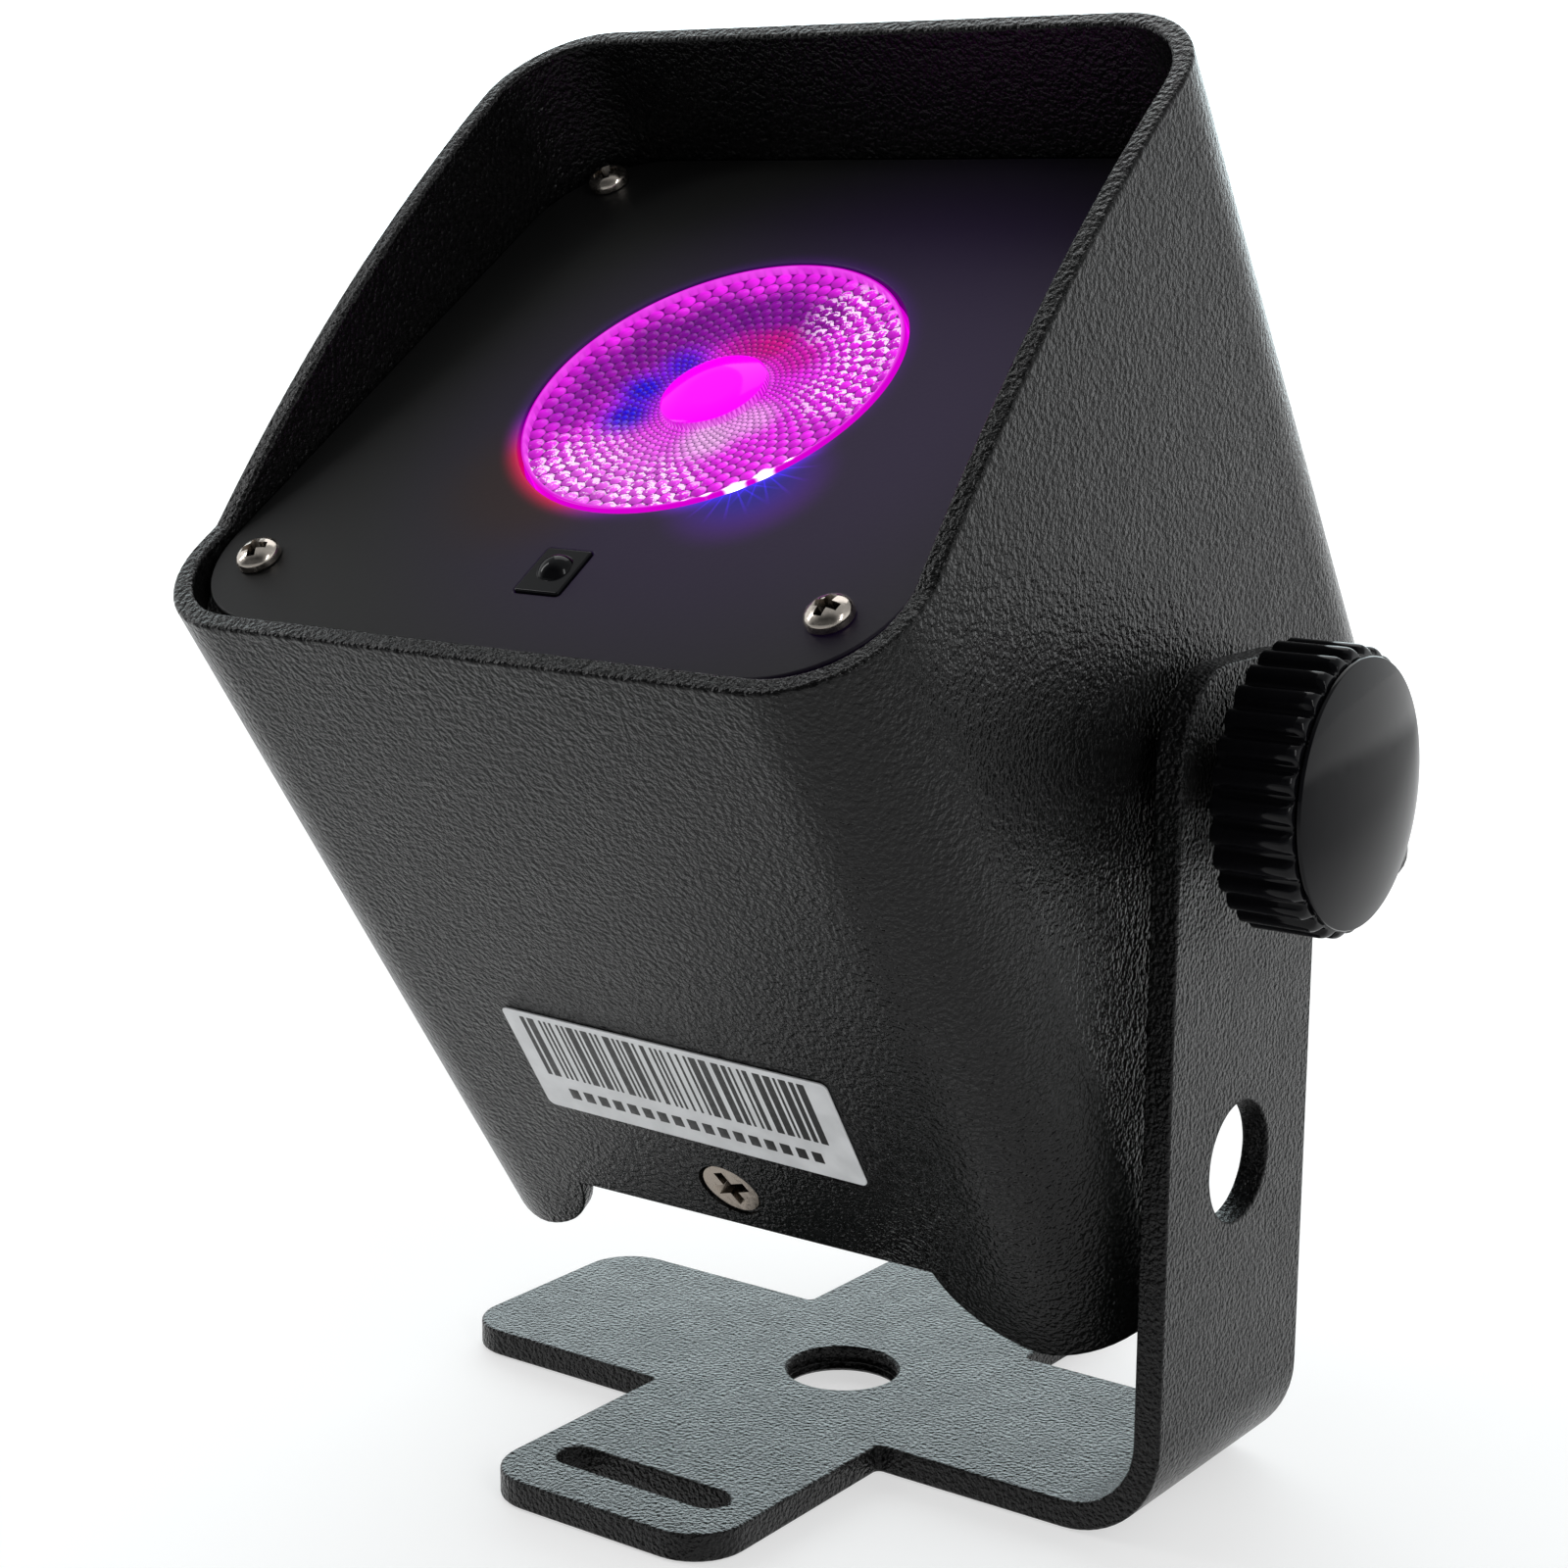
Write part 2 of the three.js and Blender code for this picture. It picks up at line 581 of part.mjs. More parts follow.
// Bottom panel: a sheet with two upright flanges that the flush screws pull against the tube.
function bottomPanel() {
  const width = 2 * (INNER_X - PLATE.play);
  const depth = 2 * (INNER_Y - PLATE.play);
  const sheet = prism(roundedRectangle(width, depth, PLATE.radius), PANEL.low, PANEL.high, 5);
  const flangeOuter = INNER_Y - GAP;
  const flangeTop = PANEL.high + PANEL.flange;
  const flanges = [-1, 1].map((side) => {
    const span = [side * flangeOuter, side * (flangeOuter - 1.5)].sort((a, b) => a - b);
    return block(-20, 20, ...span, PANEL.low + 0.5, flangeTop);
  });
  const through = [PANEL.low - PAST, PANEL.high + PAST];
  const screwBore = rod(SIDE_SCREW.shank + GAP, -TUBE.y, TUBE.y).rotateX(Math.PI / 2);
  const screen = roundedRectangle(DISPLAY.width + 2 * GAP, DISPLAY.depth + 2 * GAP, 0.6, 0, DISPLAY.y);
  const cuts = [
    screwBore.translate(0, 0, SIDE_SCREW.z),
    prism(screen, ...through, 2),
    block(SWITCH.x - 4.5, SWITCH.x + 4.5, SWITCH.y - 6.6, SWITCH.y + 6.6, ...through),
    rod(SOCKET.radius + GAP, ...through, SOCKET.x, SOCKET.y, 20),
  ];
  for (const x of BUTTON_PLACES) {
    cuts.push(rod(BUTTON.radius + GAP, ...through, x, BUTTON.y));
  }
  return carve(sheet, flanges, cuts);
}

const BUTTON_PLACES = Array.from(
  { length: BUTTON.count },
  (_, index) => (index - (BUTTON.count - 1) / 2) * BUTTON.pitch,
);

piece(head, "bottom_panel", bottomPanel(), PAINT);

// A countersunk screw along +Y, its head just under the face of the front wall.
function flushScrew() {
  const face = -TUBE.y / 2 + 0.25;
  const profile = [
    [0, face],
    [SIDE_SCREW.head, face],
    [SIDE_SCREW.head, face + 0.2],
    [SIDE_SCREW.shank, face + 1.8],
    [SIDE_SCREW.shank, face + 8.5],
    [0, face + 8.5],
  ];
  return turned(profile, 20).rotateX(-Math.PI / 2).translate(0, 0, SIDE_SCREW.z);
}

piece(head, "panel_screw_front", flushScrew(), NICKEL);
piece(head, "panel_screw_back", flushScrew().rotateZ(Math.PI), NICKEL);

// Display window, display module and the board behind them.
const windowShape = roundedRectangle(DISPLAY.width, DISPLAY.depth, 0.5, 0, DISPLAY.y);
piece(head, "display_window", prism(windowShape, PANEL.low - 0.1, PANEL.high - 0.3, 2), BLACK_GLOSS);
const displayModule = block(-13, 13, DISPLAY.y - 6.5, DISPLAY.y + 6.5, PANEL.high + GAP, -25.2);
piece(head, "display_module", displayModule, BLACK_PLASTIC);
piece(head, "control_board", block(-22, 22, 5, 33, -24.9, -24.9 + BOARD), BOARD_GREEN);

function menuButton() {
  const profile = [
    [0, BUTTON.low],
    [BUTTON.radius - 0.5, BUTTON.low],
    [BUTTON.radius, BUTTON.low + 0.5],
    [BUTTON.radius, PANEL.high + GAP],
    [BUTTON.radius + 0.8, PANEL.high + GAP],
    [BUTTON.radius + 0.8, PANEL.high + 1.3],
    [1.2, PANEL.high + 1.3],
    [1.2, -26.3],
    [0, -26.3],
  ];
  return turned(profile, 16);
}

BUTTON_PLACES.forEach((x, index) => {
  piece(head, `menu_button_${index + 1}`, menuButton(), BLACK_PLASTIC).position.set(x, BUTTON.y, 0);
});

// Power switch: a bezel and body that hold the rocker, which rests tipped to its off side.
function switchFrame() {
  const { x, y, low, high } = SWITCH;
  const bezel = block(x - 5.25, x + 5.25, y - 7.5, y + 7.5, low, PANEL.low - GAP);
  const body = block(x - 4.15, x + 4.15, y - 6.25, y + 6.25, low + PAST, high);
  const well = block(x - 3.15, x + 3.15, y - 5.25, y + 5.25, low - PAST, -26);
  return carve(bezel, [body], [well]);
}

function rocker() {
  const side = new THREE.Shape();
  side.moveTo(-4.6, -3.1);
  side.quadraticCurveTo(0, -1.5, 4.6, -3.1);
  side.lineTo(3.8, 1.2);
  side.lineTo(0, 2.8);
  side.lineTo(-3.8, 1.2);
  return prismAlongX(side, -2.8, 2.8, 6);
}

piece(head, "power_switch_frame", switchFrame(), BLACK_PLASTIC);
const powerRocker = piece(head, "power_rocker", rocker(), BLACK_GLOSS);
powerRocker.position.set(SWITCH.x, SWITCH.y, ROCKER_AXIS_Z);
powerRocker.rotation.x = SWITCH.rest;

// Charge socket: a barrel through the panel with a centre pin, on a square body.
function chargeSocket() {
  const { x, y, radius, low, high } = SOCKET;
  const barrel = rod(radius, low, PANEL.high + 2, x, y, 20);
  const bore = rod(2.8, low - PAST, -24, x, y, 16);
  const pin = rod(1, low + 1, -23, x, y, 10);
  const body = solid(block(x - 4.5, x + 4.5, y - 4.5, y + 4.5, PANEL.high + GAP, high));
  return geometryOf(body.add(solid(barrel)).subtract(solid(bore)).add(solid(pin)));
}

piece(head, "charge_socket", chargeSocket(), BLACK_PLASTIC);

// Battery: three round cells side by side in a tray that stands on four spacers.
const cellEnds = [CELL.x - CELL.length / 2, CELL.x + CELL.length / 2];
const trayHalf = ((CELL.count - 1) * CELL.pitch) / 2 + CELL.radius + 1.3;

function batteryTray() {
  const [x0, x1] = [cellEnds[0] - 0.5, cellEnds[1] + 0.5];
  const wall = TRAY.wall;
  const inside = block(x0, x1, -trayHalf, trayHalf, TRAY.low + wall, TRAY.high + PAST);
  const outside = block(x0 - wall, x1 + wall, -trayHalf - wall, trayHalf + wall, TRAY.low, TRAY.high);
  return carve(outside, [], [inside]);
}

piece(head, "battery_tray", batteryTray(), BLACK_PLASTIC);
for (let index = 0; index < CELL.count; index += 1) {
  const cell = piece(head, `battery_cell_${index + 1}`, rodAlongX(CELL.radius, ...cellEnds, 24), [0x1d4f9c, 0.4, 0]);
  cell.position.set(0, (index - (CELL.count - 1) / 2) * CELL.pitch, CELL.z);
}
[
  [-35, -27],
  [27.5, -27],
  [27.5, 27],
  [-35, 27],
].forEach(([x, y], index) => {
  const spacer = rod(2.5, PANEL.high + GAP, TRAY.low - GAP, x, y);
  piece(head, `tray_spacer_${index + 1}`, spacer, STEEL_BRIGHT);
});

// LED driver board, upright along the back wall on two spacers.
const driverFace = 33.6;
const driverBack = driverFace + BOARD;
piece(head, "driver_board", block(-24, 24, driverFace, driverBack, -16, 14), BOARD_GREEN);
[-18, 18].forEach((x, index) => {
  const spacer = rod(2.5, driverBack + GAP, INNER_Y - GAP).rotateX(-Math.PI / 2);
  piece(head, `driver_spacer_${index + 1}`, spacer, STEEL_BRIGHT).position.set(x, 0, -1);
});

// Inner leads: LED to driver, receiver to control board, battery to driver.
const ledLead = [
  [1.5, 13.6, 24.6],
  [1.5, 24, 24.7],
  [1.5, 30.6, 24.2],
  [1.5, 32.1, 20],
  [1.5, 32.1, 12],
];
const irLead = [
  [1.8, -31, 35.4],
  [1.8, -34.5, 32],
  [1.8, -35.5, 15],
  [1.8, -35.5, -12],
  [1.8, -32, -21.8],
  [1.8, -20, -24.1],
  [1.8, 3.4, -24.1],
];
const batteryLead = [
  [10, 14, 2.2],
  [10, 24, 2.4],
  [10, 30.5, 1.8],
  [10, 32.2, -1.5],
  [10, 32.2, -6],
];
piece(head, "led_lead", lead(ledLead, 1.1), WIRE);
piece(head, "ir_lead", lead(irLead, 0.9), WIRE);
piece(head, "battery_lead", lead(batteryLead, 1), WIRE);

// Label on the front wall, stuck on very slightly turned.
function label() {
  const face = -TUBE.y / 2 - LABEL.gap;
  const sheet = new THREE.BoxGeometry(LABEL.width, LABEL.thick, LABEL.height);
  sheet.rotateY(THREE.MathUtils.degToRad(-LABEL.turn));
  return sheet.translate(LABEL.x, face - LABEL.thick / 2, LABEL.z);
}

piece(head, "label", label(), [0xe9e9e6, 0.5, 0]);

// The part's origin is on the floor, in the middle of the object's footprint.
const extent = new THREE.Box3().setFromObject(assembly, true);
const part = new THREE.Group();
part.add(assembly);
assembly.position.set(-(extent.min.x + extent.max.x) / 2, -(extent.min.y + extent.max.y) / 2, 0);

export default part;
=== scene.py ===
"""Battery LED uplight on a cross-footed bracket: smooth pieces, looks, studio and camera."""

import json
import math
import random

import bmesh
import bpy
from mathutils import Matrix, Vector
from mathutils.geometry import delaunay_2d_cdt


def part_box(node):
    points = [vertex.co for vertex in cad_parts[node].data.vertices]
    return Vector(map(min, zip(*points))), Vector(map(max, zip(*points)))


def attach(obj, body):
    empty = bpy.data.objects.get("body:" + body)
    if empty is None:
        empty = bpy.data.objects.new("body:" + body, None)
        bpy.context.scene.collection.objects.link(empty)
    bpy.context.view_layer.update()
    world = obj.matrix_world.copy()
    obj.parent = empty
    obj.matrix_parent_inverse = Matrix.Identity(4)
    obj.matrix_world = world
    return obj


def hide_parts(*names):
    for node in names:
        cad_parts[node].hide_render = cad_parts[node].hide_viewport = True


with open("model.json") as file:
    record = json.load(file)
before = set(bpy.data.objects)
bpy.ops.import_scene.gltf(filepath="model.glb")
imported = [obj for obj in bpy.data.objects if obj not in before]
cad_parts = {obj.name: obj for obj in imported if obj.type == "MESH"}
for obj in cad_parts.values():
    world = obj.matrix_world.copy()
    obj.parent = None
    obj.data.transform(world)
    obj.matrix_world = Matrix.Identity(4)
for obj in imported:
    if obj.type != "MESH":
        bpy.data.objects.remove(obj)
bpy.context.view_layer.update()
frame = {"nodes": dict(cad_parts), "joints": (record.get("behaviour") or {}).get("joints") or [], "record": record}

MM = 0.001

# Bracket, in millimetres. Its own frame has its origin at the clamp hole, on the floor.
STEEL = 3.0
STRIP = 30.2
LEFT_ARM = 44.3
FRONT_ARM = 45.0
ARM_RADIUS = 6.0
UPRIGHT_FACE = 48.6
UPRIGHT_TOP = 89.0
UPRIGHT_RADIUS = 9.0
BEND_RADIUS = 8.0
CLAMP_BORE = 12.5
UPRIGHT_BORE_HEIGHT = 37.2
PIVOT_HEIGHT = 76.6
PIVOT_BORE = 8.8
SLOT_LENGTH, SLOT_WIDTH, SLOT_PLACE = 21.7, 4.4, 36.3

# Lamp, in millimetres. Its own frame has +u along the tilt axis, +v to the back and +s along the beam.
TUBE_U, TUBE_V, TUBE_RADIUS, WALL = 87.0, 85.0, 11.8, 2.2
RIM_FRONT = 46.9
HOOD_V, HOOD_S, HOOD_RADIUS = 53.6, -177.8, 239.0
INNER_U, INNER_V = TUBE_U / 2 - WALL, TUBE_V / 2 - WALL
AXIS_V, AXIS_S = 1.39, -0.94
EDGE, FOOT, FOOT_RADIUS, FOOT_INSET = -33.8, -44.0, 12.0, 8.2
PLATE_TOP, PLATE_THICK, PLATE_RADIUS, PLATE_PLAY = 46.0, 2.0, 12.0, 0.35
FACE_SCREW_U, FACE_SCREW_FRONT, FACE_SCREW_BACK = 34.6, -31.3, 35.2
LENS_U, LENS_V, LENS_RADIUS, LENS_DISC = 1.5, 0.4, 20.0, 5.6
IR_U, IR_V, IR_WIDTH, IR_DEPTH, IR_DOME = 1.8, -28.9, 5.5, 6.4, 2.0
PANEL_LOW, PANEL_HIGH, PANEL_FLANGE = -31.5, -30.0, 8.0
SIDE_SCREW_S, SIDE_SCREW_HEAD, SIDE_SCREW_SHANK = -27.65, 3.5, 1.6
KNOB_BACK, KNOB_FRONT, KNOB_TOP = 50.93, 59.6, 61.6
KNOB_RADIUS, KNOB_VALLEY, KNOB_CAP, KNOB_RIBS = 14.43, 13.5, 13.4, 30
LABEL_U, LABEL_S, LABEL_WIDTH, LABEL_HEIGHT, LABEL_TURN = 0.3, -12.1, 41.0, 15.4, 2.1
BUTTON_PITCH, BUTTON_V, BUTTON_RADIUS = 10.0, 8.0, 2.6
DISPLAY_V, DISPLAY_WIDTH, DISPLAY_DEPTH = 20.0, 22.0, 9.0
SWITCH_U, SWITCH_V, SWITCH_WIDTH, SWITCH_DEPTH = -18.0, -18.0, 9.0, 13.2
SOCKET_U, SOCKET_V, SOCKET_RADIUS = 18.0, -18.0, 4.0


# ---------------------------------------------------------------- frames


def joint(name):
    return next(j for j in frame["joints"] if j["name"] == name)


def lamp_place():
    """The lamp's own frame: turned as the menu buttons' travel says, centred on the housing shell."""
    beam = Vector(joint("menu_button_1_press")["axis"])
    across = Vector((1, 0, 0))
    turn = Matrix((across, beam.cross(across), beam)).transposed()
    points = [turn.transposed() @ v.co for v in frame["nodes"]["housing_shell"].data.vertices]
    low = [min(p[i] for p in points) for i in range(3)]
    high = [max(p[i] for p in points) for i in range(3)]
    origin = turn @ Vector(((low[0] + high[0]) / 2, (low[1] + high[1]) / 2, low[2] - FOOT * MM))
    return Matrix.Translation(origin) @ turn.to_4x4()


def bracket_place():
    low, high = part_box("yoke_bracket")
    return Matrix.Translation((high.x - UPRIGHT_FACE * MM, (low.y + high.y) / 2, 0))


def knob_place():
    """The knob's own frame: +z along the knob's axis, towards +X."""
    _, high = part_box("knob_cap")
    pivot = Vector(joint("tilt")["pos_m"])
    origin = Vector((high.x - KNOB_TOP * MM, pivot.y, pivot.z))
    return Matrix.Translation(origin) @ Matrix.Rotation(math.pi / 2, 4, "Y")


LAMP = lamp_place()
BRACKET = bracket_place()
KNOB = knob_place()


def on_lamp(u, v, s):
    """The lamp's frame moved to (u, v, s) millimetres."""
    return LAMP @ Matrix.Translation(Vector((u, v, s)) * MM)


# ---------------------------------------------------------------- outlines


def rounded(corners, steps=8):
    """A closed counterclockwise loop through corners (x, y, radius)."""
    loop = []
    for i, (x, y, radius) in enumerate(corners):
        corner = Vector((x, y))
        if radius == 0:
            loop.append(corner)
            continue
        back = (Vector(corners[i - 1][:2]) - corner).normalized()
        ahead = (Vector(corners[(i + 1) % len(corners)][:2]) - corner).normalized()
        half = back.angle(ahead) / 2
        centre = corner + (back + ahead).normalized() * radius / math.sin(half)
        start = corner + back * radius / math.tan(half) - centre
        end = corner + ahead * radius / math.tan(half) - centre
        first = math.atan2(start.y, start.x)
        sweep = (math.atan2(end.y, end.x) - first + math.pi) % (2 * math.pi) - math.pi
        for k in range(steps + 1):
            angle = first + sweep * k / steps
            loop.append(centre + radius * Vector((math.cos(angle), math.sin(angle))))
    return loop


def rectangle(width, depth, radius, x=0.0, y=0.0, steps=8):
    w, d = width / 2, depth / 2
    corners = [(x - w, y - d, radius), (x + w, y - d, radius), (x + w, y + d, radius), (x - w, y + d, radius)]
    return rounded(corners, steps)


def circle(radius, x=0.0, y=0.0, steps=48):
    turn = [2 * math.pi * k / steps for k in range(steps)]
    return [Vector((x + radius * math.cos(a), y + radius * math.sin(a))) for a in turn]


def hole(loop):
    return loop[::-1]


def moved(loop, amount):
    """The loop moved to its left, where the material is."""
    made = []
    for i, point in enumerate(loop):
        before = (point - loop[i - 1]).normalized()
        after = (loop[(i + 1) % len(loop)] - point).normalized()
        left = Vector((-before.y - after.y, before.x + after.x)).normalized()
        made.append(point + left * amount / max(0.5, left.dot(Vector((-before.y, before.x)))))
    return made


def divided(loop, stations):
    """The loop with a point wherever it crosses one of these x stations."""
    made = []
    for i, point in enumerate(loop):
        made.append(point)
        after = loop[(i + 1) % len(loop)]
        span = after.x - point.x
        shares = [(x - point.x) / span for x in stations] if abs(span) > 1e-6 else []
        made += [point.lerp(after, share) for share in sorted(shares) if 1e-4 < share < 1 - 1e-4]
    return made


# ---------------------------------------------------------------- shapes: (points, faces) in millimetres


def rounded_edge(low, high, bevel, steps=3):
    """(inset, height) pairs up an edge that is rounded off at both ends."""
    turn = [math.pi / 2 * k / steps for k in range(steps + 1)]
    rise = [(bevel * (1 - math.sin(a)), low + bevel * (1 - math.cos(a))) for a in turn]
    return rise + [(inset, low + high - height) for inset, height in reversed(rise)]


def cap(points, spans, ties, facing_down):
    """Triangles between the closed loops that spans names by first point and length."""
    ids = [start + i for start, count in spans for i in range(count)]
    owner = [k for k, (_, count) in enumerate(spans) for _ in range(count)]
    edges, base = list(ties), 0
    for _, count in spans:
        edges += [(base + i, base + (i + 1) % count) for i in range(count)]
        base += count
    flat = [Vector(points[i][:2]) for i in ids]
    _, _, triangles, origins, _, _ = delaunay_2d_cdt(flat, edges, [], 1, 1e-7)
    faces = []
    for triangle in triangles:
        corners = [origins[k][0] for k in triangle]
        owners = {owner[k] for k in corners}
        if len(owners) == 1 and owners != {0}:
            continue
        face = [ids[k] for k in corners]
        faces.append(face[::-1] if facing_down else face)
    return faces


def plate(outer, holes, low, high, bevel, profiles=None, ties=()):
    """A flat plate with rounded edges. profiles gives a hole, by number from 1, its own edge."""
    points, faces, first, last = [], [], [], []
    for index, loop in enumerate([outer, *holes]):
        profile = (profiles or {}).get(index) or rounded_edge(low, high, bevel)
        count = len(loop)
        starts = []
        for inset, height in profile:
            starts.append(len(points))
            points += [(p.x, p.y, height) for p in moved(loop, inset)]
        for a, b in zip(starts, starts[1:]):
            faces += [(a + i, a + (i + 1) % count, b + (i + 1) % count, b + i) for i in range(count)]
        first.append((starts[0], count))
        last.append((starts[-1], count))
    faces += cap(points, first, ties, True)
    faces += cap(points, last, ties, False)
    return points, faces


def skin(rings, closed=False):
    """Faces between rings of points, with a fan wherever a ring is a single point."""
    points = [p for ring in rings for p in ring]
    starts = [sum(len(ring) for ring in rings[:k]) for k in range(len(rings))]
    pairs = list(zip(range(len(rings)), range(1, len(rings))))
    if closed:
        pairs.append((len(rings) - 1, 0))
    faces = []
    for a, b in pairs:
        na, nb, sa, sb = len(rings[a]), len(rings[b]), starts[a], starts[b]
        for i in range(max(na, nb)):
            face = [sa + i % na, sa + (i + 1) % na, sb + (i + 1) % nb, sb + i % nb]
            faces.append(tuple(dict.fromkeys(face)))
    return points, faces


def turned(profile, steps=48):
    """A profile of (radius, height) pairs turned about +z."""
    rings = []
    for radius, height in profile:
        if radius < 1e-6:
            rings.append([(0, 0, height)])
        else:
            rings.append([(p.x, p.y, height) for p in circle(radius, steps=steps)])
    return skin(rings)


def swell(radius, height, low, steps):
    """(radius, height) pairs up a dome's side, to just short of its top."""
    turn = [math.pi / 2 * k / steps for k in range(steps)]
    return [(radius * math.cos(a), low + height * math.sin(a)) for a in turn]


def box(u0, u1, v0, v1, s0, s1, bevel):
    return plate(rectangle(u1 - u0, v1 - v0, bevel, (u0 + u1) / 2, (v0 + v1) / 2, 2), [], s0, s1, bevel / 2)


def placed(shape, matrix):
    return [tuple(matrix @ Vector(p)) for p in shape[0]], shape[1]


def joined(*shapes):
    points, faces = [], []
    for more_points, more_faces in shapes:
        base = len(points)
        points += more_points
        faces += [tuple(base + i for i in face) for face in more_faces]
    return points, faces


def mesh_of(name, shape):
    mesh = bpy.data.meshes.new(name)
    mesh.from_pydata([[c * MM for c in p] for p in shape[0]], [], shape[1])
    work = bmesh.new()
    work.from_mesh(mesh)
    bmesh.ops.recalc_face_normals(work, faces=work.faces)
    work.to_mesh(mesh)
    work.free()
    return mesh


def cut_away(mesh, cutters):
    """The mesh with the cutter shapes taken out of it."""
    body = bpy.data.objects.new("cut_body", mesh)
    bpy.context.scene.collection.objects.link(body)
    tools = []
    for shape in cutters:
        tool = bpy.data.objects.new("cut_tool", mesh_of("cut_tool", shape))
        bpy.context.scene.collection.objects.link(tool)
        tools.append(tool)
        difference = body.modifiers.new("cut", "BOOLEAN")
        difference.operation = "DIFFERENCE"
        difference.solver = "EXACT"
        difference.object = tool
    bpy.context.view_layer.update()
    shown = body.evaluated_get(bpy.context.evaluated_depsgraph_get())
    made = bpy.data.meshes.new_from_object(shown)
    for made_object in (body, *tools):
        bpy.data.objects.remove(made_object)
    return made


def piece(name, mesh, place, body, look, replaces=(), sharp=32, weighted=True, upright=False):
    """A shown object that rides on a CAD body. An upright one keeps its axes along the row frame's."""
    if upright:
        mesh.transform(place)
        place = Matrix.Identity(4)
    mesh.materials.clear()
    mesh.materials.append(look)
    mesh.shade_smooth()
    mesh.set_sharp_from_angle(angle=math.radians(sharp))
    made = bpy.data.objects.new(name, mesh)
    bpy.context.scene.collection.objects.link(made)
    made.matrix_world = place
    if weighted:
        normals = made.modifiers.new("normals", "WEIGHTED_NORMAL")
        normals.keep_sharp = True
    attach(made, body)
    if replaces:
        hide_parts(*replaces)
    return made


# ---------------------------------------------------------------- looks


def blank(name, **values):
    """A material and its shader, with uniform values set on the shader's own sockets."""
    made = bpy.data.materials.new(name)
    made.use_nodes = True
    shader = made.node_tree.nodes["Principled BSDF"]
    for key, value in values.items():
        shader.inputs[key.replace("_", " ")].default_value = value
    return made, made.node_tree, shader


def node(tree, kind, inputs=None, **settings):
    made = tree.nodes.new(kind)
    for key, value in settings.items():
        setattr(made, key, value)
    for key, value in (inputs or {}).items():
        if isinstance(value, bpy.types.NodeSocket):
            tree.links.new(value, made.inputs[key])
        else:
            made.inputs[key].default_value = value
    return made


def where(tree):
    return node(tree, "ShaderNodeTexCoord").outputs["Object"]


def noise(tree, size, detail=2.0, roughness=0.5):
    """Noise whose features are about size millimetres wide."""
    inputs = {"Vector": where(tree), "Scale": 1 / (size * MM), "Detail": detail, "Roughness": roughness}
    return node(tree, "ShaderNodeTexNoise", inputs).outputs["Fac"]


def ranged(tree, value, low, high, to_low=0.0, to_high=1.0):
    """A smooth step from to_low to to_high while the value goes from low to high."""
    inputs = {"Value": value, "From Min": low, "From Max": high, "To Min": to_low, "To Max": to_high}
    return node(tree, "ShaderNodeMapRange", inputs, interpolation_type="SMOOTHSTEP").outputs["Result"]


def blended(tree, share, a, b):
    """Colour a where share is 0 and b where it is 1."""
    made = node(tree, "ShaderNodeMix", data_type="RGBA")
    for socket, value in (("Factor_Float", share), ("A_Color", a), ("B_Color", b)):
        target = next(s for s in made.inputs if s.identifier == socket)
        if isinstance(value, bpy.types.NodeSocket):
            tree.links.new(value, target)
        else:
            target.default_value = value
    return next(s for s in made.outputs if s.identifier == "Result_Color")


def maths(tree, operation, a, b=None):
    inputs = {0: a} if b is None else {0: a, 1: b}
    return node(tree, "ShaderNodeMath", inputs, operation=operation).outputs[0]


def product(tree, *factors):
    made = factors[0]
    for factor in factors[1:]:
        made = maths(tree, "MULTIPLY", made, factor)
    return made


def dot(tree, vector, direction):
    inputs = {0: vector, 1: direction}
    return node(tree, "ShaderNodeVectorMath", inputs, operation="DOT_PRODUCT").outputs["Value"]


def length(tree, vector):
    return node(tree, "ShaderNodeVectorMath", {0: vector}, operation="LENGTH").outputs["Value"]


def grey(value):
    return (value, value, value, 1.0)


def bump(tree, shader, height, depth):
    """Relief of depth millimetres."""
    inputs = {"Height": height, "Strength": 1.0, "Distance": depth * MM}
    made = node(tree, "ShaderNodeBump", inputs)
    tree.links.new(made.outputs["Normal"], shader.inputs["Normal"])


def powder_coat(name, shade, grain, depth):
    """Black wrinkled powder coat."""
    made, tree, shader = blank(name, Specular_IOR_Level=0.2)
    fine = noise(tree, grain, 2.0)
    broad = noise(tree, grain * 9, 1.0)
    bump(tree, shader, fine, depth)
    colour = blended(tree, ranged(tree, fine, 0.3, 0.7), grey(shade * 0.6), grey(shade * 1.5))
    tree.links.new(colour, shader.inputs["Base Color"])
    tree.links.new(ranged(tree, broad, 0.3, 0.7, 0.14, 0.19), shader.inputs["Roughness"])
    return made


def brushed(name, colour, roughness, metallic, size=0.6, depth=0.004, spread=0.1, specular=0.5):
    """Metal or plastic with faint marks, and painted shade, near black, where a piece's own point attribute marks
    the floor of a recess.
    """
    made, tree, shader = blank(name, Metallic=metallic, Specular_IOR_Level=specular)
    marks = noise(tree, size, 3.0)
    shade = blended(tree, ranged(tree, marks, 0.3, 0.7), tuple(c * 0.85 for c in colour[:3]) + (1,), colour)
    # Painted shade: the floor of a screw's cross recess is coloured near black.
    recess_shade = node(tree, "ShaderNodeAttribute", attribute_name="recess_shade").outputs["Fac"]
    shade = blended(tree, recess_shade, shade, grey(0.004))
    tree.links.new(shade, shader.inputs["Base Color"])
    low, high = max(0.02, roughness - spread), roughness + spread
    tree.links.new(ranged(tree, marks, 0.3, 0.7, low, high), shader.inputs["Roughness"])
    bump(tree, shader, marks, depth)
    return made


def glowing(tree, shader, colour, strength):
    if isinstance(colour, bpy.types.NodeSocket):
        tree.links.new(colour, shader.inputs["Emission Color"])
    else:
        shader.inputs["Emission Color"].default_value = colour
    if isinstance(strength, bpy.types.NodeSocket):
        tree.links.new(strength, shader.inputs["Emission Strength"])
    else:
        shader.inputs["Emission Strength"].default_value = strength


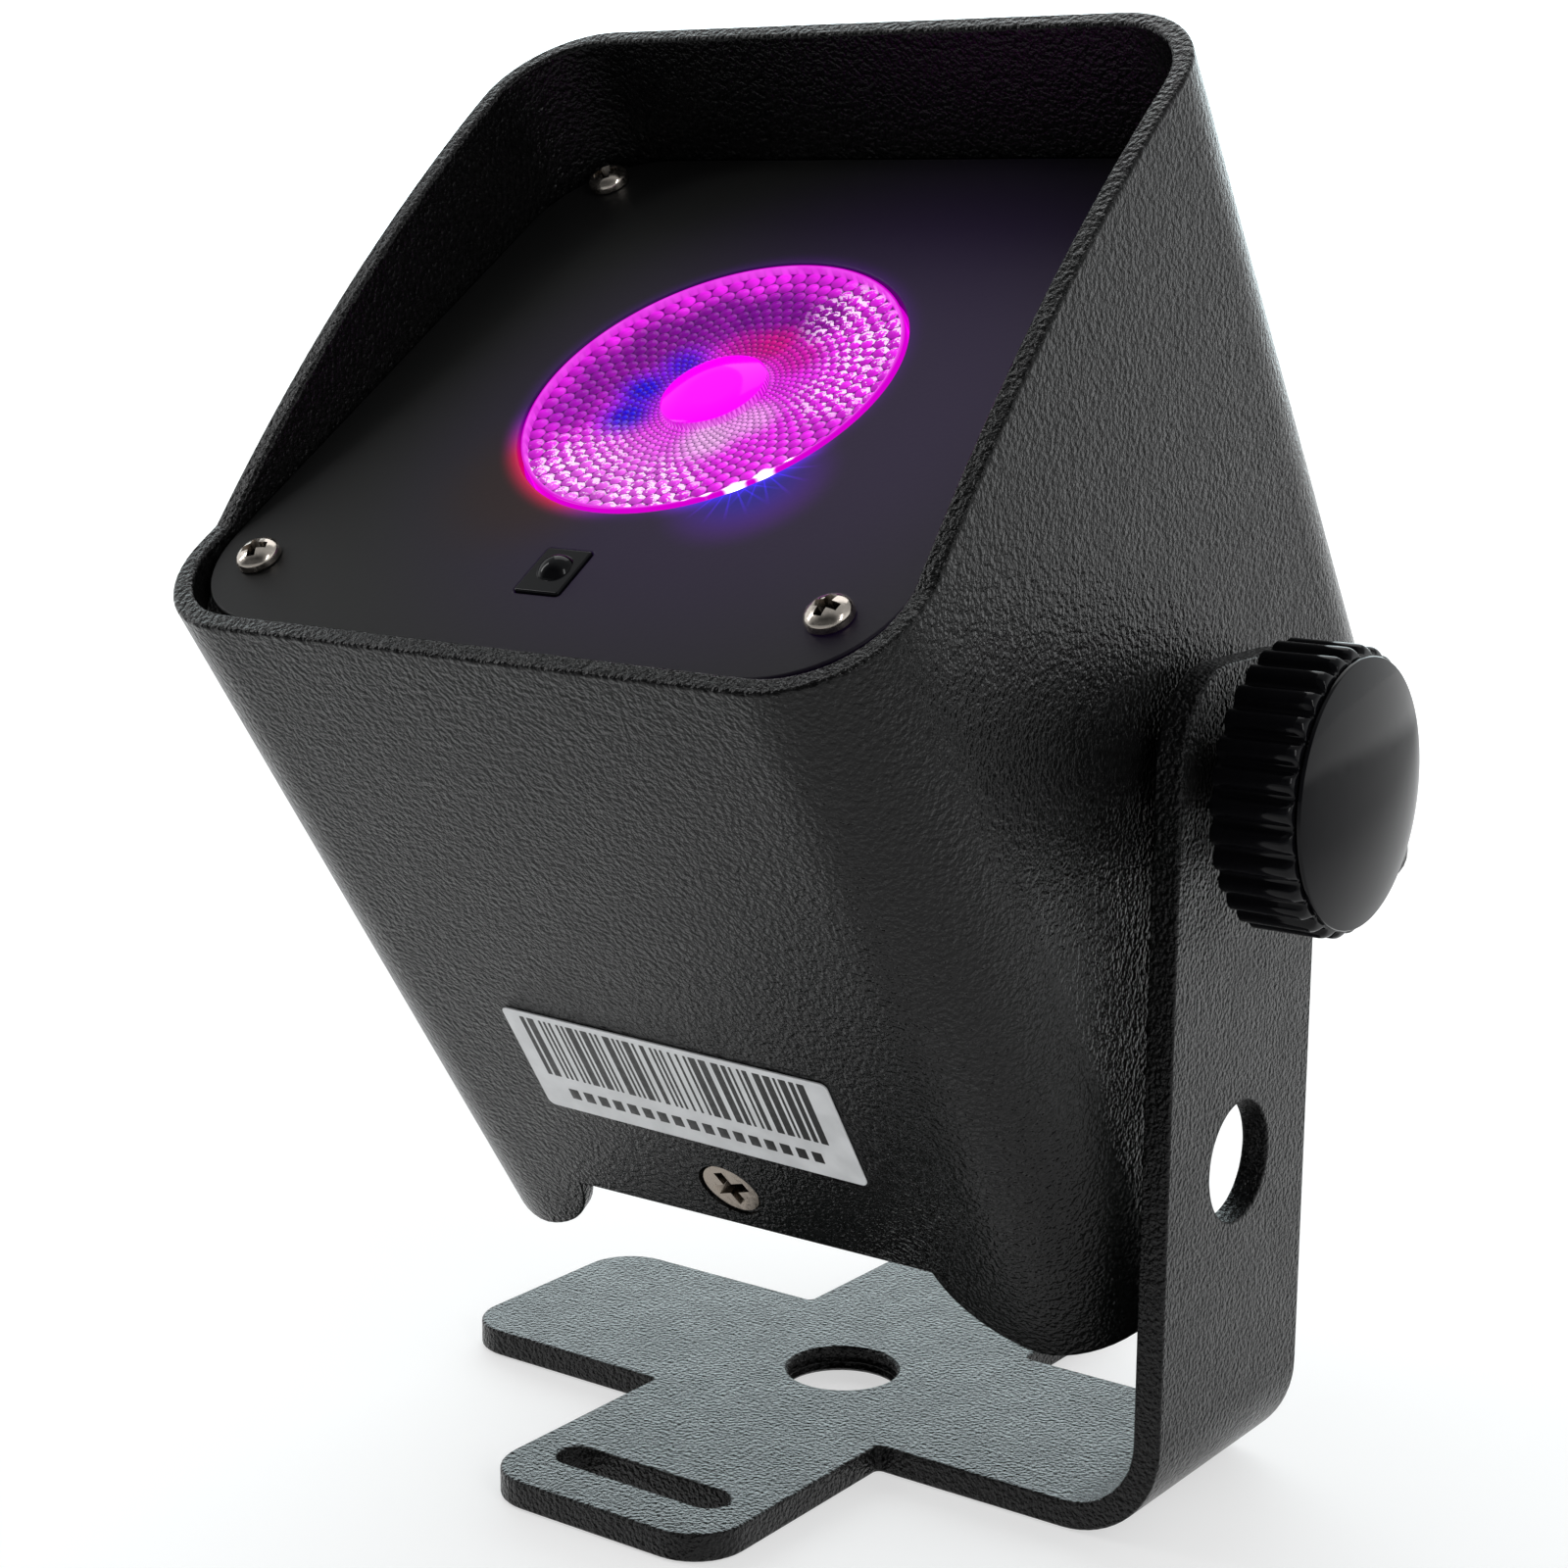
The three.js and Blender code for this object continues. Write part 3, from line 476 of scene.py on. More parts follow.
def distance_from(tree, coords, u, v):
    """Distance from (u, v), in metres."""
    inputs = {0: coords, 1: (u * MM, v * MM, 0)}
    return node(tree, "ShaderNodeVectorMath", inputs, operation="DISTANCE").outputs["Value"]


def near(tree, coords, u, v, solid, fade):
    """1 within solid millimetres of (u, v) and 0 from fade millimetres."""
    return ranged(tree, distance_from(tree, coords, u, v), solid * MM, fade * MM, 1.0, 0.0)


def flattened(tree, coords):
    """The coordinates without their height."""
    return node(tree, "ShaderNodeVectorMath", {0: coords, 1: (1, 1, 0)}, operation="MULTIPLY").outputs[0]


# Zones of the lit lens, from its centre, in millimetres: (u, v, solid, fade, amount, colour). The blue and red
# patches are its light's own colours; the dark purple zones to the back and left are painted shade and the pale
# zones to the front are painted highlights.
LENS_ZONES = [
    (-15.0, -4.0, 1.5, 5.0, 0.7, (0.25, 0.0, 0.4, 1)),
    (-14.5, 2.0, 2.0, 6.0, 0.8, (0.2, 0.0, 0.32, 1)),
    (-11.5, 7.5, 2.5, 6.0, 0.85, (0.16, 0.0, 0.26, 1)),
    (-6.5, 11.5, 2.5, 6.0, 0.85, (0.16, 0.0, 0.26, 1)),
    (-0.5, 13.0, 2.5, 5.5, 0.85, (0.16, 0.0, 0.26, 1)),
    (5.0, 12.5, 2.0, 5.0, 0.75, (0.22, 0.0, 0.3, 1)),
    (-8.4, -4.2, 0.8, 4.8, 1.0, (0.01, 0.0, 0.8, 1)),
    (-9.0, 0.2, 0.8, 4.8, 1.0, (0.01, 0.0, 0.8, 1)),
    (-6.8, 4.6, 0.6, 4.4, 0.95, (0.02, 0.0, 0.75, 1)),
    (-1.3, 8.0, 0.6, 4.0, 0.8, (0.5, 0.0, 0.25, 1)),
    (2.2, 8.3, 0.8, 4.2, 0.9, (0.65, 0.0, 0.2, 1)),
    (6.2, 6.4, 0.8, 4.0, 0.7, (0.65, 0.0, 0.28, 1)),
    (3.4, -7.0, 1.0, 4.5, 0.9, (1.0, 0.55, 0.97, 1)),
    (6.6, -3.6, 0.8, 4.0, 0.8, (1.0, 0.45, 0.97, 1)),
    (-4.0, -14.5, 4.0, 12.0, 0.3, (1.0, 0.35, 1.0, 1)),
]
# Where facets get painted glints: (u, v, solid, fade).
LENS_GLINT_ZONES = [
    (8.5, 13.0, 2.0, 6.0),
    (14.0, 8.0, 2.0, 7.0),
    (14.5, 1.5, 2.0, 7.0),
    (-9.0, -13.5, 3.0, 9.0),
    (2.0, -15.5, 3.0, 7.0),
]
# Facets in a row, the rows' distance as a share of the facets', and the radius where the dish ends.
PETALS = 66
ROW_SHARE = 0.87
ROW_PITCH = 2 * math.pi / PETALS * ROW_SHARE
LENS_EDGE = LENS_RADIUS - 0.45
LENS_BASE = (0.95, 0.02, 0.95, 1)
LENS_GLOW = (1.0, 0.0, 1.0, 1)
# Painted hot spots of light on the front rim: (u, v, size).
LENS_HOT_SPOTS = [(8.0, -17.3, 0.8), (9.8, -16.3, 1.0), (12.1, -14.8, 1.5), (14.1, -12.7, 1.5), (15.7, -10.5, 1.0)]


def star(tree, coords, u, v, reach, amount):
    """Painted glare: thin rays of light round (u, v)."""
    offset = node(tree, "ShaderNodeVectorMath", {0: coords, 1: (u * MM, v * MM, 0)}, operation="SUBTRACT")
    parts = node(tree, "ShaderNodeSeparateXYZ", {"Vector": offset.outputs[0]})
    angle = maths(tree, "ARCTAN2", parts.outputs["Y"], parts.outputs["X"])
    wave = maths(tree, "COSINE", maths(tree, "ADD", product(tree, angle, 17.0), u))
    fade = ranged(tree, distance_from(tree, coords, u, v), 0.2 * MM, reach * MM, amount, 0.0)
    return product(tree, ranged(tree, wave, 0.75, 1.0), fade)


def facet_pattern(tree, coords, towards):
    """Round facets in rows that shrink inwards.

    Gives the distance from the facet's middle in pitches, how far the point lies to the side that the
    angle `towards` points to, and the facet's own random share.
    """
    parts = node(tree, "ShaderNodeSeparateXYZ", {"Vector": coords})
    angle = maths(tree, "ARCTAN2", parts.outputs["Y"], parts.outputs["X"])
    across = product(tree, angle, PETALS / (2 * math.pi))
    inward = maths(tree, "DIVIDE", distance_from(tree, coords, 0, 0), LENS_EDGE * MM)
    along = maths(tree, "LOGARITHM", inward, math.exp(-ROW_PITCH))
    first = maths(tree, "FLOOR", maths(tree, "SUBTRACT", along, 0.5))
    choices = []
    for step in (0.0, 1.0):
        row = maths(tree, "ADD", first, step)
        shift = product(tree, maths(tree, "FLOORED_MODULO", row, 2.0), 0.5)
        shifted = maths(tree, "SUBTRACT", across, shift)
        column = maths(tree, "ROUND", shifted)
        x = maths(tree, "SUBTRACT", shifted, column)
        y = product(tree, maths(tree, "SUBTRACT", maths(tree, "SUBTRACT", along, row), 0.5), ROW_SHARE)
        offset = node(tree, "ShaderNodeCombineXYZ", {"X": x, "Y": y}).outputs[0]
        number = node(tree, "ShaderNodeCombineXYZ", {"X": row, "Y": column}).outputs[0]
        choices.append((length(tree, offset), offset, number))
    nearer = maths(tree, "LESS_THAN", choices[1][0], choices[0][0])
    gap = maths(tree, "MINIMUM", choices[0][0], choices[1][0])
    offset = blended(tree, nearer, choices[0][1], choices[1][1])
    number = blended(tree, nearer, choices[0][2], choices[1][2])
    share = node(tree, "ShaderNodeTexWhiteNoise", {"Vector": number}, noise_dimensions="2D").outputs["Value"]
    turn = maths(tree, "SUBTRACT", math.radians(towards), angle)
    sides = node(tree, "ShaderNodeSeparateXYZ", {"Vector": offset})
    sideways = product(tree, sides.outputs["X"], maths(tree, "SINE", turn))
    inwards = product(tree, sides.outputs["Y"], maths(tree, "COSINE", turn))
    return gap, maths(tree, "SUBTRACT", sideways, inwards), share


def lit_lens():
    """Lit lens: coloured zones under round facets with dark outlines, each facet painted lighter on one side as
    painted light and shade, with painted highlights (crescents, glints and hot spots) to the front and right.
    """
    made, tree, shader = blank("lit_lens", Roughness=0.1, IOR=1.49, Specular_IOR_Level=0.06)
    coords = flattened(tree, where(tree))
    colour = LENS_BASE
    for u, v, solid, fade, amount, light_tint in LENS_ZONES:
        share = product(tree, near(tree, coords, u, v, solid, fade), amount)
        colour = blended(tree, share, colour, light_tint)
    gap, facing, tone = facet_pattern(tree, coords, 60)
    # Each facet has a dark outline and is painted lighter on one side and darker on the other, as painted light
    # and shade.
    outline = ranged(tree, gap, 0.42, 0.54, 1.0, 0.12)
    shine = ranged(tree, facing, -0.45, 0.3, 0.5, 1.1)
    shine = product(tree, outline, shine, ranged(tree, tone, 0.0, 1.0, 0.8, 1.1))
    lit = blended(tree, shine, (0.05, 0.0, 0.09, 1), colour)
    # Painted highlight: a pale crescent on each facet, strongest to the front.
    crescent_highlight = product(tree, ranged(tree, facing, 0.2, 0.45), ranged(tree, gap, 0.56, 0.42))
    front = near(tree, coords, 6.0, -10.0, 6.0, 17.0)
    crescent_highlight = product(tree, crescent_highlight, ranged(tree, front, 0.0, 1.0, 0.05, 0.4))
    lit = blended(tree, crescent_highlight, lit, (1.0, 0.45, 1.0, 1))
    # Painted glints: pale chips where the noise and the facet's lighter side meet, inside the glint zones.
    glint_zone = 0.0
    for u, v, solid, fade in LENS_GLINT_ZONES:
        glint_zone = maths(tree, "MAXIMUM", near(tree, coords, u, v, solid, fade), glint_zone)
    glint_noise = maths(tree, "ADD", noise(tree, 0.8, 3.0, 0.8), product(tree, facing, 0.25))
    glint = product(tree, ranged(tree, glint_noise, 0.53, 0.6), glint_zone)
    lit = blended(tree, glint, lit, (1.1, 0.8, 1.1, 1))
    disc = near(tree, coords, 0, 0, LENS_DISC - 0.15, LENS_DISC + 0.15)
    lit = blended(tree, disc, lit, LENS_GLOW)
    out = distance_from(tree, coords, 0, 0)
    wall = ranged(tree, out, (LENS_EDGE - 0.05) * MM, (LENS_EDGE + 0.05) * MM)
    wall_colour = blended(tree, noise(tree, 1.6, 3.0), (0.7, 0.0, 0.7, 1), (1.0, 0.12, 1.0, 1))
    lit = blended(tree, wall, lit, wall_colour)
    edge = ranged(tree, out, (LENS_RADIUS - 0.3) * MM, (LENS_RADIUS - 0.1) * MM)
    lit = blended(tree, edge, lit, (0.7, 0.0, 0.65, 1))
    # Painted hot spots: small white highlights on the front rim.
    for u, v, size in LENS_HOT_SPOTS:
        lit = blended(tree, near(tree, coords, u, v, size * 0.4, size), lit, (5.0, 5.0, 5.5, 1))
    glowing(tree, shader, lit, 1.0)
    shader.inputs["Base Color"].default_value = (0.004, 0.0, 0.004, 1)
    return made


def plate_with_painted_glow():
    """Matt black plate with the lens's light painted round its rim: a red and a blue glow, a faint wash to the
    right and glare rays at two hot spots.
    """
    made, tree, shader = blank("matt_black_steel", Roughness=0.5, Specular_IOR_Level=0.2)
    grain = noise(tree, 0.5, 2.0)
    bump(tree, shader, grain, 0.008)
    coords = flattened(tree, where(tree))
    tree.links.new(blended(tree, grain, grey(0.004), grey(0.007)), shader.inputs["Base Color"])
    # Painted light from the lens: a halo hugging its rim, red to the front left and blue to the front right, a
    # faint wide wash of light to the right and a glow at the front right.
    gap = distance_from(tree, coords, LENS_U, LENS_V)
    halo = ranged(tree, gap, (LENS_RADIUS - 0.4) * MM, (LENS_RADIUS + 3.0) * MM, 1.0, 0.0)
    halo = product(tree, halo, halo)
    red = near(tree, coords, LENS_U - 11, LENS_V - 16, 5, 15)
    blue = near(tree, coords, LENS_U + 13, LENS_V - 14, 3, 10)
    light_tint = near(tree, coords, LENS_U + 12, LENS_V - 4, 14, 48)
    colour = blended(tree, red, (0.35, 0.0, 1.0, 1), (0.7, 0.0, 0.08, 1))
    colour = blended(tree, blue, colour, (0.04, 0.01, 0.9, 1))
    bright = maths(tree, "ADD", maths(tree, "MAXIMUM", red, blue), 0.08)
    strength = maths(tree, "ADD", product(tree, halo, bright), product(tree, light_tint, 0.022))
    glow = ranged(tree, distance_from(tree, coords, LENS_U + 14, LENS_V - 15), 2 * MM, 10 * MM, 0.22, 0.0)
    strength = maths(tree, "ADD", strength, glow)
    # Painted glare rays round two of the lens's hot spots.
    for u, v, _ in LENS_HOT_SPOTS[2:4]:
        strength = maths(tree, "ADD", strength, star(tree, coords, LENS_U + u, LENS_V + v, 6.5, 0.7))
    glowing(tree, shader, colour, strength)
    return made


def printed_board(name, colour):
    made, tree, shader = blank(name, Roughness=0.4)
    tracks = node(tree, "ShaderNodeTexBrick", {"Vector": where(tree), "Scale": 300.0})
    darker = tuple(c * 0.6 for c in colour[:3]) + (1,)
    tree.links.new(blended(tree, tracks.outputs["Fac"], colour, darker), shader.inputs["Base Color"])
    bump(tree, shader, tracks.outputs["Fac"], 0.02)
    return made


LOOKS = {
    "painted_steel": powder_coat("painted_steel", 0.004, 0.55, 0.3),
    "matt_black_steel": plate_with_painted_glow(),
    "dark_nickel": brushed("dark_nickel", (0.6, 0.54, 0.48, 1), 0.18, 1.0),
    "zinc_steel": brushed("zinc_steel", (0.55, 0.55, 0.52, 1), 0.32, 1.0),
    "heat_sink_alloy": brushed("heat_sink_alloy", (0.62, 0.62, 0.63, 1), 0.38, 1.0),
    "lit_lens": lit_lens(),
    "emitter_phosphor": brushed("emitter_phosphor", (0.8, 0.7, 0.15, 1), 0.5, 0.0),
    "gloss_black": brushed("gloss_black", (0.004, 0.004, 0.005, 1), 0.08, 0.0, 1.5, 0.002, 0.03, 0.16),
    "black_plastic": brushed("black_plastic", (0.01, 0.01, 0.01, 1), 0.45, 0.0, 0.4, 0.01),
    "circuit_board": printed_board("circuit_board", (0.02, 0.16, 0.06, 1)),
    "led_board_white": brushed("led_board_white", (0.75, 0.75, 0.72, 1), 0.4, 0.0),
    "cell_wrap": brushed("cell_wrap", (0.03, 0.16, 0.42, 1), 0.3, 0.0),
    "wire": brushed("wire", (0.45, 0.02, 0.02, 1), 0.45, 0.0),
    "label_stock": brushed("label_stock", (0.78, 0.79, 0.8, 1), 0.45, 0.0, 4.0, 0.001),
}

# The bracket's coat is rougher than the tube's, and the flush screws are duller than the ones in the plate.
BRACKET_COAT = powder_coat("painted_bracket", 0.004, 0.5, 0.6)
BRONZE = brushed("bronzed_nickel", (0.36, 0.31, 0.26, 1), 0.2, 1.0)

for entry in frame["record"]["subparts"]:
    mesh = frame["nodes"][entry["node"]].data
    mesh.materials.clear()
    mesh.materials.append(LOOKS[entry["material_slot"]])


# ---------------------------------------------------------------- bracket


def thread_edge(low, high, bevel, pitch, depth):
    """The wall of a threaded hole: (inset, height) pairs with one groove a pitch."""
    wall = rounded_edge(low, high, bevel, 1)
    turns = int((high - low - 2 * bevel) / pitch)
    grooves = []
    for k in range(turns):
        base = low + bevel + 0.1 + k * pitch
        grooves += [(0, base), (depth, base + pitch * 0.45), (0, base + pitch * 0.9)]
    return wall[:2] + grooves + wall[2:]


def bent(shape):
    """The flat plate with its +x end folded up into the upright."""
    centre_x = UPRIGHT_FACE - STEEL - BEND_RADIUS
    outer = BEND_RADIUS + STEEL
    made = []
    for x, y, z in shape[0]:
        turn = min(max((x - centre_x) / outer, 0.0), math.pi / 2)
        if turn > 0:
            above = max(x - centre_x - outer * math.pi / 2, 0.0)
            reach = outer - z
            made.append((centre_x + reach * math.sin(turn), y, outer - reach * math.cos(turn) + above))
        else:
            made.append((x, y, z))
    return made, shape[1]


def yoke_shape():
    half = STRIP / 2
    fold = UPRIGHT_FACE - STEEL - BEND_RADIUS
    stretch = (BEND_RADIUS + STEEL) * math.pi / 2
    along = fold + stretch - BEND_RADIUS - STEEL
    end = UPRIGHT_TOP + along
    inner = 0.6
    corners = [
        (half, -FRONT_ARM, ARM_RADIUS),
        (half, -half, inner),
        (end, -half, UPRIGHT_RADIUS),
        (end, half, UPRIGHT_RADIUS),
        (half, half, inner),
        (half, FRONT_ARM, ARM_RADIUS),
        (-half, FRONT_ARM, ARM_RADIUS),
        (-half, half, inner),
        (-LEFT_ARM, half, ARM_RADIUS),
        (-LEFT_ARM, -half, ARM_RADIUS),
        (-half, -half, inner),
        (-half, -FRONT_ARM, ARM_RADIUS),
    ]
    folds = 16
    stations = [fold + stretch * k / folds for k in range(folds + 1)]
    outer = divided(rounded(corners, 10), stations)
    holes = [
        circle(CLAMP_BORE / 2, steps=72),
        rectangle(SLOT_LENGTH, SLOT_WIDTH, SLOT_WIDTH / 2, 0, -SLOT_PLACE, 12),
        rectangle(SLOT_LENGTH, SLOT_WIDTH, SLOT_WIDTH / 2, 0, SLOT_PLACE, 12),
        circle(CLAMP_BORE / 2, UPRIGHT_BORE_HEIGHT + along, 0, 72),
        circle(PIVOT_BORE / 2, PIVOT_HEIGHT + along, 0, 48),
    ]
    ties = []
    for x in stations:
        found = [i for i, p in enumerate(outer) if abs(p.x - x) < 1e-4]
        ties.append((found[0], found[-1]))
    thread = thread_edge(0, STEEL, 0.3, 0.8, 0.32)
    return bent(plate(outer, [hole(h) for h in holes], 0, STEEL, 0.3, {1: thread}, ties))


piece("bracket_bent_plate", mesh_of("bracket_bent_plate", yoke_shape()), BRACKET, "bracket",
      BRACKET_COAT, ["yoke_bracket"])


# ---------------------------------------------------------------- housing


def foot_level(across, half):
    """How low the tube goes at a distance across a side from its middle."""
    gap = half - FOOT_INSET - abs(across)
    if gap <= 0:
        return FOOT
    if gap >= FOOT_RADIUS:
        return EDGE
    return min(EDGE, FOOT + FOOT_RADIUS - math.sqrt(FOOT_RADIUS**2 - gap**2))


# Where the rim's arc starts, and stops along the side walls that let the rim follow the arc.
HOOD_START = HOOD_V - math.sqrt(HOOD_RADIUS**2 - (RIM_FRONT - HOOD_S) ** 2)
BETWEEN = [HOOD_START - 0.4, HOOD_START, HOOD_START + 0.4, *(-20.0 + 4 * k for k in range(11))]


def tube_path():
    """Points round the tube's outer face, closer together where the feet start."""
    ends = []
    for half in (TUBE_U / 2, TUBE_V / 2):
        centre = half - FOOT_INSET
        drop = EDGE - FOOT - FOOT_RADIUS
        start = math.sqrt(FOOT_RADIUS**2 - drop**2)
        angles = [math.asin(start / FOOT_RADIUS) * k / 14 for k in range(15)]
        ends.append([centre - FOOT_RADIUS * math.sin(a) for a in angles])
    loop = rectangle(TUBE_U, TUBE_V, TUBE_RADIUS, steps=14)
    made = []
    for i, point in enumerate(loop):
        made.append(point)
        after = loop[(i + 1) % len(loop)]
        if (after - point).length < TUBE_RADIUS:
            continue
        flat_u = abs(after.y - point.y) < 1e-6
        marks = ends[0] if flat_u else ends[1]
        stops = sorted({round(side * m, 4) for m in marks for side in (-1, 1)} | set(BETWEEN))
        low, high = (point.x, after.x) if flat_u else (point.y, after.y)
        shares = [(stop - low) / (high - low) for stop in stops]
        made += [point.lerp(after, share) for share in sorted(shares) if 1e-3 < share < 1 - 1e-3]
    return made


def rim_level(v):
    """The rim is flat at the front and follows a wide arc to the back."""
    return max(RIM_FRONT, HOOD_S + math.sqrt(HOOD_RADIUS**2 - (v - HOOD_V) ** 2))


def housing_shape():
    path = tube_path()
    floor = [max(foot_level(p.x, TUBE_U / 2), foot_level(p.y, TUBE_V / 2)) for p in path]
    bevel, steps = 0.45, 4
    rings = []

    def add(inset, drop, at_top):
        loop = moved(path, inset)
        level = [rim_level(p.y) - drop if at_top else floor[i] + drop for i, p in enumerate(loop)]
        rings.append([(p.x, p.y, z) for p, z in zip(loop, level)])

    turn = [math.pi / 2 * k / steps for k in range(steps + 1)]
    corner = [(bevel * (1 - math.cos(a)), bevel * (1 - math.sin(a))) for a in turn]
    for inset, drop in corner:
        add(inset, drop, True)
    for inset, drop in reversed(corner):
        add(WALL - inset, drop, True)
    for inset, drop in corner:
        add(WALL - inset, drop, False)
    for inset, drop in reversed(corner):
        add(inset, drop, False)
    return skin(rings, closed=True)


def tab_shapes():
    made = []
    reach, thick = 5.0, 1.5
    under = PLATE_TOP - PLATE_THICK - 0.3
    for side in (-1, 1):
        for v in (FACE_SCREW_FRONT, FACE_SCREW_BACK):
            end = math.copysign(1, v)
            u0, u1 = sorted((side * (FACE_SCREW_U - reach), side * INNER_U))
            v0, v1 = sorted((v - end * reach, end * INNER_V))
            corners = [(u0, v0, 0.2), (u1, v0, 0.2), (u1, v1, 0.2), (u0, v1, 0.2)]
            outer = corners.index((side * INNER_U, end * INNER_V, 0.2))
            corners[outer] = (*corners[outer][:2], TUBE_RADIUS - WALL)
            made.append(plate(rounded(corners), [], under - thick, under, 0.1))
    return made


def countersink():
    """A hole for a flush screw, about +z, with the wall's outer face at z = 0."""
    head, shank, play = SIDE_SCREW_HEAD, SIDE_SCREW_SHANK, 0.3
    profile = [(0, 2), (head + play, 2), (head + play, -0.4)]
    profile += [(shank + play, -1.9), (shank + play, -4), (0, -4)]
    return turned(profile, 64)


FRONT_FACE = Matrix.Translation((0, -TUBE_V / 2, SIDE_SCREW_S)) @ Matrix.Rotation(math.pi / 2, 4, "X")
BACK_FACE = Matrix.Translation((0, TUBE_V / 2, SIDE_SCREW_S)) @ Matrix.Rotation(-math.pi / 2, 4, "X")
SIDE_FACE = Matrix.Translation((TUBE_U / 2, AXIS_V, AXIS_S)) @ Matrix.Rotation(math.pi / 2, 4, "Y")
bore = turned([(0, 2), (PIVOT_BORE / 2, 2), (PIVOT_BORE / 2, -4), (0, -4)], 48)
cutters = [placed(countersink(), FRONT_FACE), placed(countersink(), BACK_FACE), placed(bore, SIDE_FACE)]
tube = cut_away(mesh_of("housing_tube", housing_shape()), cutters)
piece("housing_tube", tube, LAMP, "lamp", LOOKS["painted_steel"], ["housing_shell"],
      upright=True)
piece("housing_tabs", mesh_of("housing_tabs", joined(*tab_shapes())), LAMP, "lamp",
      LOOKS["painted_steel"])


# ---------------------------------------------------------------- face plate and screws

SCREW_PLACES = [
    (-FACE_SCREW_U, FACE_SCREW_FRONT),
    (FACE_SCREW_U, FACE_SCREW_FRONT),
    (FACE_SCREW_U, FACE_SCREW_BACK),
    (-FACE_SCREW_U, FACE_SCREW_BACK),
]
SHEET_U = TUBE_U - 2 * WALL - 2 * PLATE_PLAY
SHEET_V = TUBE_V - 2 * WALL - 2 * PLATE_PLAY

plate_holes = [hole(circle(LENS_RADIUS + 0.4, LENS_U, LENS_V, 128))]
plate_holes.append(hole(rectangle(IR_WIDTH, IR_DEPTH, 0.4, IR_U, IR_V, 4)))
plate_holes += [hole(circle(1.5, u, v, 32)) for u, v in SCREW_PLACES]
sheet = rectangle(SHEET_U, SHEET_V, PLATE_RADIUS, steps=16)
face_shape = plate(sheet, plate_holes, PLATE_TOP - PLATE_THICK, PLATE_TOP, 0.3)
piece("face_plate_sheet", mesh_of("face_plate_sheet", face_shape), LAMP, "lamp",
      LOOKS["matt_black_steel"], ["face_plate"])


def cross_recess(span, width, depth, top):
    """A tapering cross from z = top down."""
    arms = []
    for turn in (0, math.pi / 2):
        rings = []
        for z, share in ((0.5, 1.15), (0.0, 1.0), (-depth, 0.45)):
            w, d = span * share / 2, width * (0.6 + 0.4 * share) / 2
            rings.append([(w, -d, z), (w, d, z), (-w, d, z), (-w, -d, z)])
        points, faces = skin(rings)
        faces = faces + [(3, 2, 1, 0), (8, 9, 10, 11)]
        arms.append(placed((points, faces), Matrix.Translation((0, 0, top)) @ Matrix.Rotation(turn, 4, "Z")))
    return arms


def mark_recess_shade(mesh, low, high, reach):
    """Point attribute for painted shade: 1 on the floor of the cross, between two heights and inside the reach."""
    marks = mesh.attributes.new("recess_shade", "FLOAT", "POINT")
    inside = [low < v.co.z / MM < high and v.co.xy.length / MM < reach for v in mesh.vertices]
    marks.data.foreach_set("value", [float(found) for found in inside])
    return mesh


def pan_head():
    head, shank, top = 2.35, 1.2, 1.75
    profile = [(0, -8), (shank, -8), (shank, 0), (head - 0.1, 0), (head, 0.1)]
    profile += [*swell(head, 1.2, 0.55, 8), (0, top)]
    made = cut_away(mesh_of("pan_head", turned(profile, 48)), cross_recess(3.2, 0.95, 1.2, top))
    return mark_recess_shade(made, 0.3, 1.1, 1.7)


def flush_head():
    head, shank, top = SIDE_SCREW_HEAD, SIDE_SCREW_SHANK, -0.25
    profile = [(0, -8.5), (shank, -8.5), (shank, -2.05), (head, -0.45), (head, -0.35)]
    profile += [(head - 0.1, top), (0, top)]
    made = cut_away(mesh_of("flush_head", turned(profile, 64)), cross_recess(4.9, 1.3, 1.5, top))
    return mark_recess_shade(made, -2.0, -0.5, 2.6)


screw_mesh = pan_head()
for index, (u, v) in enumerate(SCREW_PLACES):
    seat = on_lamp(u, v, PLATE_TOP + 0.05) @ Matrix.Rotation(0.4 + 1.1 * index, 4, "Z")
    piece(f"face_screw_head_{index + 1}", screw_mesh.copy(), seat, "lamp",
          LOOKS["dark_nickel"], [f"face_screw_{index + 1}"])

flush_mesh = flush_head()
for side, seat in (("front", FRONT_FACE), ("back", BACK_FACE)):
    scaled = seat.copy()
    scaled.translation = scaled.translation * MM
    piece(f"flush_screw_{side}", flush_mesh.copy(), LAMP @ scaled @ Matrix.Rotation(0.35, 4, "Z"), "lamp",
          BRONZE, [f"panel_screw_{side}"])


# ---------------------------------------------------------------- lens and receiver

FACET_RISE = 0.25


def facet_drop(angle, radius):
    """How far the point lies below the top of its facet, in pitches."""
    across = angle * PETALS / (2 * math.pi)
    along = math.log(LENS_EDGE / radius) / ROW_PITCH
    gaps = []
    for row in (math.floor(along - 0.5), math.floor(along - 0.5) + 1):
        shifted = across - 0.5 * (row % 2)
        gaps.append(math.hypot(shifted - round(shifted), (along - row - 0.5) * ROW_SHARE))
    return FACET_RISE * min(gaps) ** 2 * 1.6


